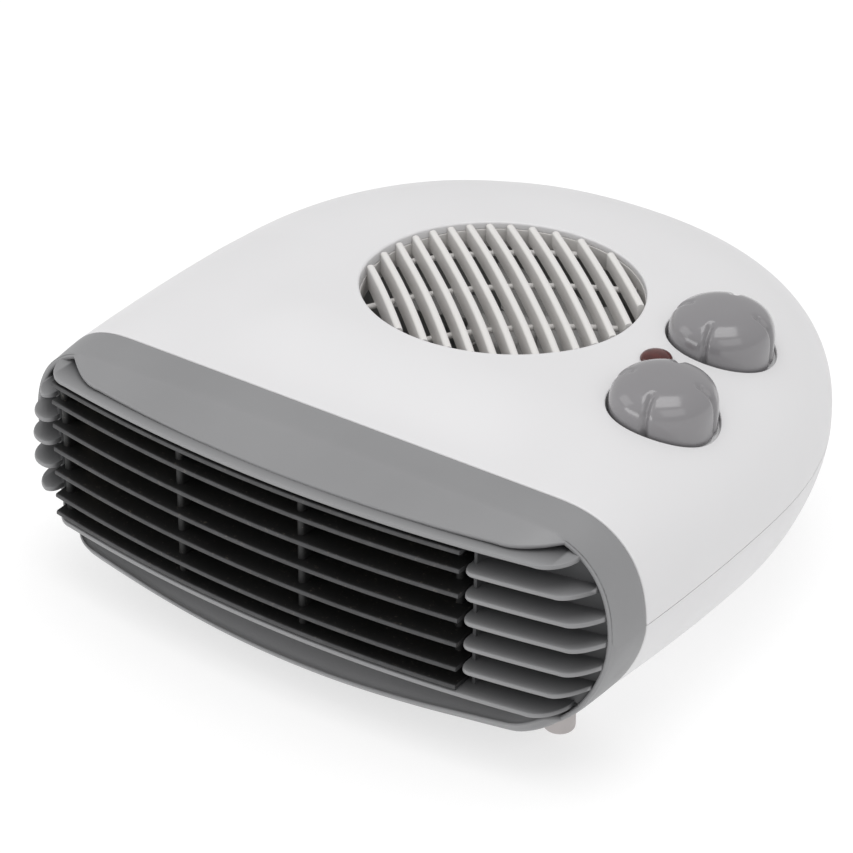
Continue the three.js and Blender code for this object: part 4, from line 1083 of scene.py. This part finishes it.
def slat_end(offset, radius, sign):
    """How far a curved slat runs before its corner meets the opening."""
    reach = math.sqrt(max(0.0, radius ** 2 - (abs(offset) + SLAT_THICKNESS / 2) ** 2))
    for _ in range(8):
        t = offset - SLAT_CURVE * reach ** 2
        reach = math.sqrt(max(0.0, radius ** 2 - (abs(t) + SLAT_THICKNESS / 2) ** 2))
    return sign * reach


def bent_rod(radius, line, segments=16):
    """Round bar along a level curve of points."""
    line = np.asarray(line, float)
    heading = np.gradient(line, axis=0)
    heading /= np.linalg.norm(heading, axis=1)[:, None]
    side = np.cross(heading, (0, 0, 1))
    upwards = np.array([0, 0, 1])
    sections = []
    for at, aside in zip(line, side):
        angles = np.linspace(0, 2 * math.pi, segments, endpoint=False)
        sections.append([at + radius * (aside * math.cos(a) + upwards * math.sin(a)) for a in angles])
    return loft(sections)


def intake_grille():
    """Curved slanting slats on bent cross bars, in a collar under the opening."""
    along = np.array([math.cos(SLAT_ANGLE), math.sin(SLAT_ANGLE)])
    across = np.array([-along[1], along[0]])
    centre = np.array(FAN, float)
    radius = INTAKE_RADIUS - 0.25
    half = SLAT_THICKNESS / 2
    parts = []
    for i in range(SLAT_COUNT):
        offset = (i - (SLAT_COUNT - 1) / 2) * SLAT_PITCH + SLAT_OFFSET
        ends = [slat_end(offset, radius, sign) for sign in (-1, 1)]
        sections = []
        for s in np.linspace(*ends, 44):
            bend = -2 * SLAT_CURVE * s
            own_across = (across - along * bend) / math.hypot(1, bend)
            x, y = centre + along * s + across * (offset - SLAT_CURVE * s * s)
            top = top_z(x, y) - SLAT_SINK
            line = [(-half * 0.8, SLAT_BOTTOM_Z), (-half, SLAT_BOTTOM_Z + 0.4), (-half, top - SLAT_ROUND)]
            for k in range(1, 10):
                turn = math.pi * k / 10
                line.append((-half * math.cos(turn), top - SLAT_ROUND + SLAT_ROUND * math.sin(turn)))
            line += [(half, top - SLAT_ROUND), (half, SLAT_BOTTOM_Z + 0.4), (half * 0.8, SLAT_BOTTOM_Z)]
            sections.append([(x + own_across[0] * t, y + own_across[1] * t, z) for t, z in line])
        parts.append(loft(sections))
    for offset in SLAT_BARS:
        line = []
        for t in np.linspace(-51, 51, 60):
            s = offset + BAR_CURVE * (t - BAR_CURVE_START) ** 2
            if math.hypot(s, t) < BAR_REACH:
                x, y = centre + along * s + across * t
                line.append((x, y, SLAT_BOTTOM_Z - 0.4))
        parts.append(bent_rod(BAR_RADIUS, line))
    collar = [(51.45, "floor", 87.3), (51.6, "floor", 87), (54.3, "floor", 87), (54.6, "floor", 87.3)]
    collar += [(54.6, "collar", -0.3), (54.3, "collar", 0), (51.6, "collar", 0), (51.45, "collar", -0.2)]
    parts.append(round_wall(collar))
    add_piece("intake_grille_slats", parts, "warm_white", "intake_grille")


intake_grille()

# ---- Controls ----

KNOB_SHOULDER_Z = 96.0
KNOB_TOP_Z = 109.2
KNOB_POWER = 3.1
KNOB_SHARP_ANGLE = 40
BORE_RADIUS = 3.3
BORE_TOP_Z = 100.9
GROOVE_START = 11.5
GROOVE_DEPTH = 1.5
GROOVE_HALF = 1.5
GROOVE_TURN = math.radians(10)


def knob(at, body):
    """Domed knob with upright sides and four radial grooves that run out over the rim."""
    def height(r):
        rise = (1 - min(1.0, r / KNOB_RADIUS) ** KNOB_POWER) ** (1 / KNOB_POWER)
        return KNOB_SHOULDER_Z + (KNOB_TOP_Z - KNOB_SHOULDER_Z) * rise

    profile = [(0, BORE_TOP_Z), (BORE_RADIUS, BORE_TOP_Z), (BORE_RADIUS, KNOB_BASE_Z)]
    profile += [(KNOB_RADIUS - 0.5, KNOB_BASE_Z), (KNOB_RADIUS, KNOB_BASE_Z + 0.5)]
    profile += [(KNOB_RADIUS, z) for z in np.linspace(91.5, KNOB_SHOULDER_Z, 6)]
    steps = 46
    for i in range(1, steps):
        r = KNOB_RADIUS * math.cos(math.pi / 2 * i / steps) ** (2 / KNOB_POWER)
        profile.append((r, height(r)))
    profile.append((0, KNOB_TOP_Z))

    def grooved(r, z, angle):
        if r <= BORE_RADIUS or z < KNOB_BASE_Z + 0.4:
            return r, z
        turn = (angle - GROOVE_TURN + math.pi / 4) % (math.pi / 2) - math.pi / 4
        side = abs(r * math.sin(turn)) / GROOVE_HALF
        if side > 1.7 or z < KNOB_SHOULDER_Z and r < KNOB_RADIUS - 0.1:
            return r, z
        deep = GROOVE_DEPTH * math.exp(-(side ** 2) * 1.6)
        deep *= min(1.0, max(0.0, (r - GROOVE_START + 1.2) / 2.4))
        steep = min(1.0, max(0.0, (r / KNOB_RADIUS - 0.72) / 0.28))
        return r - deep * math.sin(steep * math.pi / 2), z - deep * math.cos(steep * math.pi / 2)

    node = body + "_knob"
    add_piece(node + "_cap", [turned(profile, at, 480, grooved)], "knob_grey", node, body, KNOB_SHARP_ANGLE)


knob(SELECTOR, "selector")
knob(THERMOSTAT, "thermostat")


def indicator_lens():
    """Low dome over a flange in the shell, hollow underneath for the lamp."""
    seat = LENS_SEAT_Z
    profile = [(0, 98), (2.2, 97.7), (3.2, 96.6), (3.4, 90), (4.8, 90), (5, 90.2), (5, seat), (5.6, seat)]
    profile += [(5.65, seat + 0.25), (5.55, seat + 0.5)]
    steps = 14
    for i in range(1, steps):
        angle = math.pi / 2 * i / steps
        profile.append((5.4 * math.cos(angle), seat + 0.5 + 1.9 * math.sin(angle)))
    profile.append((0, seat + 2.4))
    add_piece("indicator_lens_dome", [turned(profile, LENS_AT, 64)], "lens_red", "indicator_lens")


indicator_lens()

# ---- Fan, feet, screws and gland ----

IMPELLER_RADIUS = 46
HUB_RADIUS = 13
IMPELLER_Z = (66, 84)
BLADE_COUNT = 5
BLADE_SWEEP = 66
FIRST_BLADE_ANGLE = 20


def impeller():
    """Hub with twisted blades; angles are in degrees about the fan's axis."""
    low, high = IMPELLER_Z
    hub_top = high - 2
    hub = [(0, hub_top - 3), (2.3, hub_top - 3), (2.3, low), (HUB_RADIUS - 0.4, low)]
    hub += [(HUB_RADIUS, low + 0.4), (HUB_RADIUS, hub_top - 2)]
    for a in np.linspace(0.2, math.pi / 2, 8):
        hub.append((HUB_RADIUS - 2 + 2 * math.cos(a), hub_top - 2 + 2 * math.sin(a)))
    hub += [(6, hub_top), (0, hub_top)]
    parts = [turned(hub, FAN, 72)]
    for blade_number in range(BLADE_COUNT):
        middle = 360 / BLADE_COUNT * blade_number + FIRST_BLADE_ANGLE
        sections = []
        for r in np.linspace(HUB_RADIUS - 1.5, IMPELLER_RADIUS, 16):
            thickness = 1.7 - 0.5 * (r / IMPELLER_RADIUS)
            under = []
            over = []
            for t in np.linspace(0, 1, 13):
                angle = math.radians(middle + BLADE_SWEEP * (t - 0.5))
                x = FAN[0] + r * math.cos(angle)
                y = FAN[1] + r * math.sin(angle)
                z = lerp(low + 2, high - 1, t)
                ease = thickness / 2 * math.sqrt(max(0.04, math.sin(math.pi * t)))
                under.append((x, y, z - ease))
                over.append((x, y, z + ease))
            sections.append(under + over[::-1])
        parts.append(loft(sections))
    add_piece("impeller_moulding", parts, "fan_grey", "impeller", "fan_rotor")


impeller()


def foot(name):
    """Moulded foot with an eased sole and a peg."""
    low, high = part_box(name)
    at = ((low.x + high.x) * 500, (low.y + high.y) * 500 + CENTRE_Y)
    profile = [(0, 0), (4.6, 0)]
    profile += [(4.6 + math.sin(a), 1 - math.cos(a)) for a in np.linspace(0.2, math.pi / 2, 6)]
    profile += [(5.6, 7.4), (5.3, 7.7), (2.5, 7.7), (2.5, 13), (2.1, 13.4), (0, 13.4)]
    add_piece(name + "_moulding", [turned(profile, at, 48)], "foot_white", name)


for corner in ("front_left", "front_right", "rear_left", "rear_right"):
    foot("foot_" + corner)


def cord_gland():
    """Bush in the rear wall: a flange inside, a plain barrel and a collar with a belled mouth outside."""
    profile = [(3.3, 200.8), (6.2, 200.8), (6.5, 201.2), (6.5, 203.2), (6.2, 203.5), (5, 203.6), (5, 213)]
    profile += [(6.8, 213.1), (7, 213.4), (7, 214.3), (6.7, 214.8), (6.2, 215), (4.6, 215)]
    for a in np.linspace(0.2, math.pi / 2, 6):
        profile.append((3.3 + 1.2 * (1 - math.sin(a)), 213.8 + 1.2 * math.cos(a)))
    sections = []
    for angle in np.linspace(0, 2 * math.pi, 64, endpoint=False):
        sections.append([(r * math.cos(angle), y, GLAND_Z + r * math.sin(angle)) for r, y in profile])
    add_piece("cord_gland_bush", [loft(sections, ring=True)], "dark_plastic", "cord_gland")


cord_gland()

# ---- Floor, lights and camera ----

# Place and target in metres, width and height in metres, power in watts.
SOFTBOXES = {
    "overhead": ((0.1, -0.1, 1.5), (0, 0, 0), (1.1, 1.1), 9),
    "front_right": ((1.1, -0.8, 1.05), (0, 0, 0.05), (1.3, 0.9), 3.2),
    "front_low": ((-0.7, -1.5, 0.12), (0, 0, 0.02), (1.6, 0.5), 7),
    "left": ((-1.4, -0.7, 0.8), (0, 0, 0.05), (0.9, 0.9), 2.5),
}
FLOOR_HALF = 6.0
WORLD_STRENGTH = 0.62
CAMERA_TURN = math.radians(34.11)
CAMERA_TILT = math.radians(31.88)
CAMERA_ROLL = math.radians(0.562)
CAMERA_TARGET = (-19.84, 80, 40.7)
CAMERA_DISTANCE = 1.144
CAMERA_LENS = 130.96


def studio_world():
    world = bpy.data.worlds.new("studio")
    bpy.context.scene.world = world
    world.use_nodes = True
    background = world.node_tree.nodes["Background"]
    background.inputs["Color"].default_value = (1, 1, 1, 1)
    background.inputs["Strength"].default_value = WORLD_STRENGTH


def studio_floor():
    mesh = bpy.data.meshes.new("studio_floor")
    corners = [(x * FLOOR_HALF, y * FLOOR_HALF, 0) for x, y in ((-1, -1), (1, -1), (1, 1), (-1, 1))]
    mesh.from_pydata(corners, [], [(0, 1, 2, 3)])
    plane = add_object("studio_floor", mesh)
    paper = Shade("studio_paper", (0.45, 0.45, 0.45), 0.9, specular=0.1)
    paper.set(paper.shader, {"Emission Color": (1, 1, 1, 1), "Emission Strength": 0.6})
    paper.tint(paper.ramp(paper.noise(3, 2), 0.4, 0.7), (0.44, 0.44, 0.44))
    mesh.materials.append(paper.material)


def softbox(name, location, target, size, power):
    light = bpy.data.lights.new(name, "AREA")
    light.shape = "RECTANGLE"
    light.size, light.size_y = size
    light.energy = power
    obj = add_object(name, light)
    obj.location = location
    obj.rotation_euler = (Vector(target) - Vector(location)).to_track_quat("-Z", "Y").to_euler()


def camera():
    level = math.cos(CAMERA_TILT)
    forward = Vector((-math.sin(CAMERA_TURN) * level, math.cos(CAMERA_TURN) * level, -math.sin(CAMERA_TILT)))
    right = Vector((math.cos(CAMERA_TURN), math.sin(CAMERA_TURN), 0))
    up = right.cross(forward)
    target = Vector((CAMERA_TARGET[0], CAMERA_TARGET[1] - CENTRE_Y, CAMERA_TARGET[2])) / 1000
    side = right * math.cos(CAMERA_ROLL) + up * math.sin(CAMERA_ROLL)
    above = up * math.cos(CAMERA_ROLL) - right * math.sin(CAMERA_ROLL)
    place = Matrix((side, above, -forward)).transposed().to_4x4()
    place.translation = target - forward * CAMERA_DISTANCE
    data = bpy.data.cameras.new("camera")
    data.sensor_width = 36
    data.lens = CAMERA_LENS
    data.clip_start = 0.05
    data.clip_end = 20
    obj = add_object("camera", data)
    obj.matrix_world = place
    bpy.context.scene.camera = obj


bpy.context.scene.view_settings.view_transform = "Standard"
studio_world()
studio_floor()
for light_name, light_settings in SOFTBOXES.items():
    softbox(light_name, *light_settings)
camera()
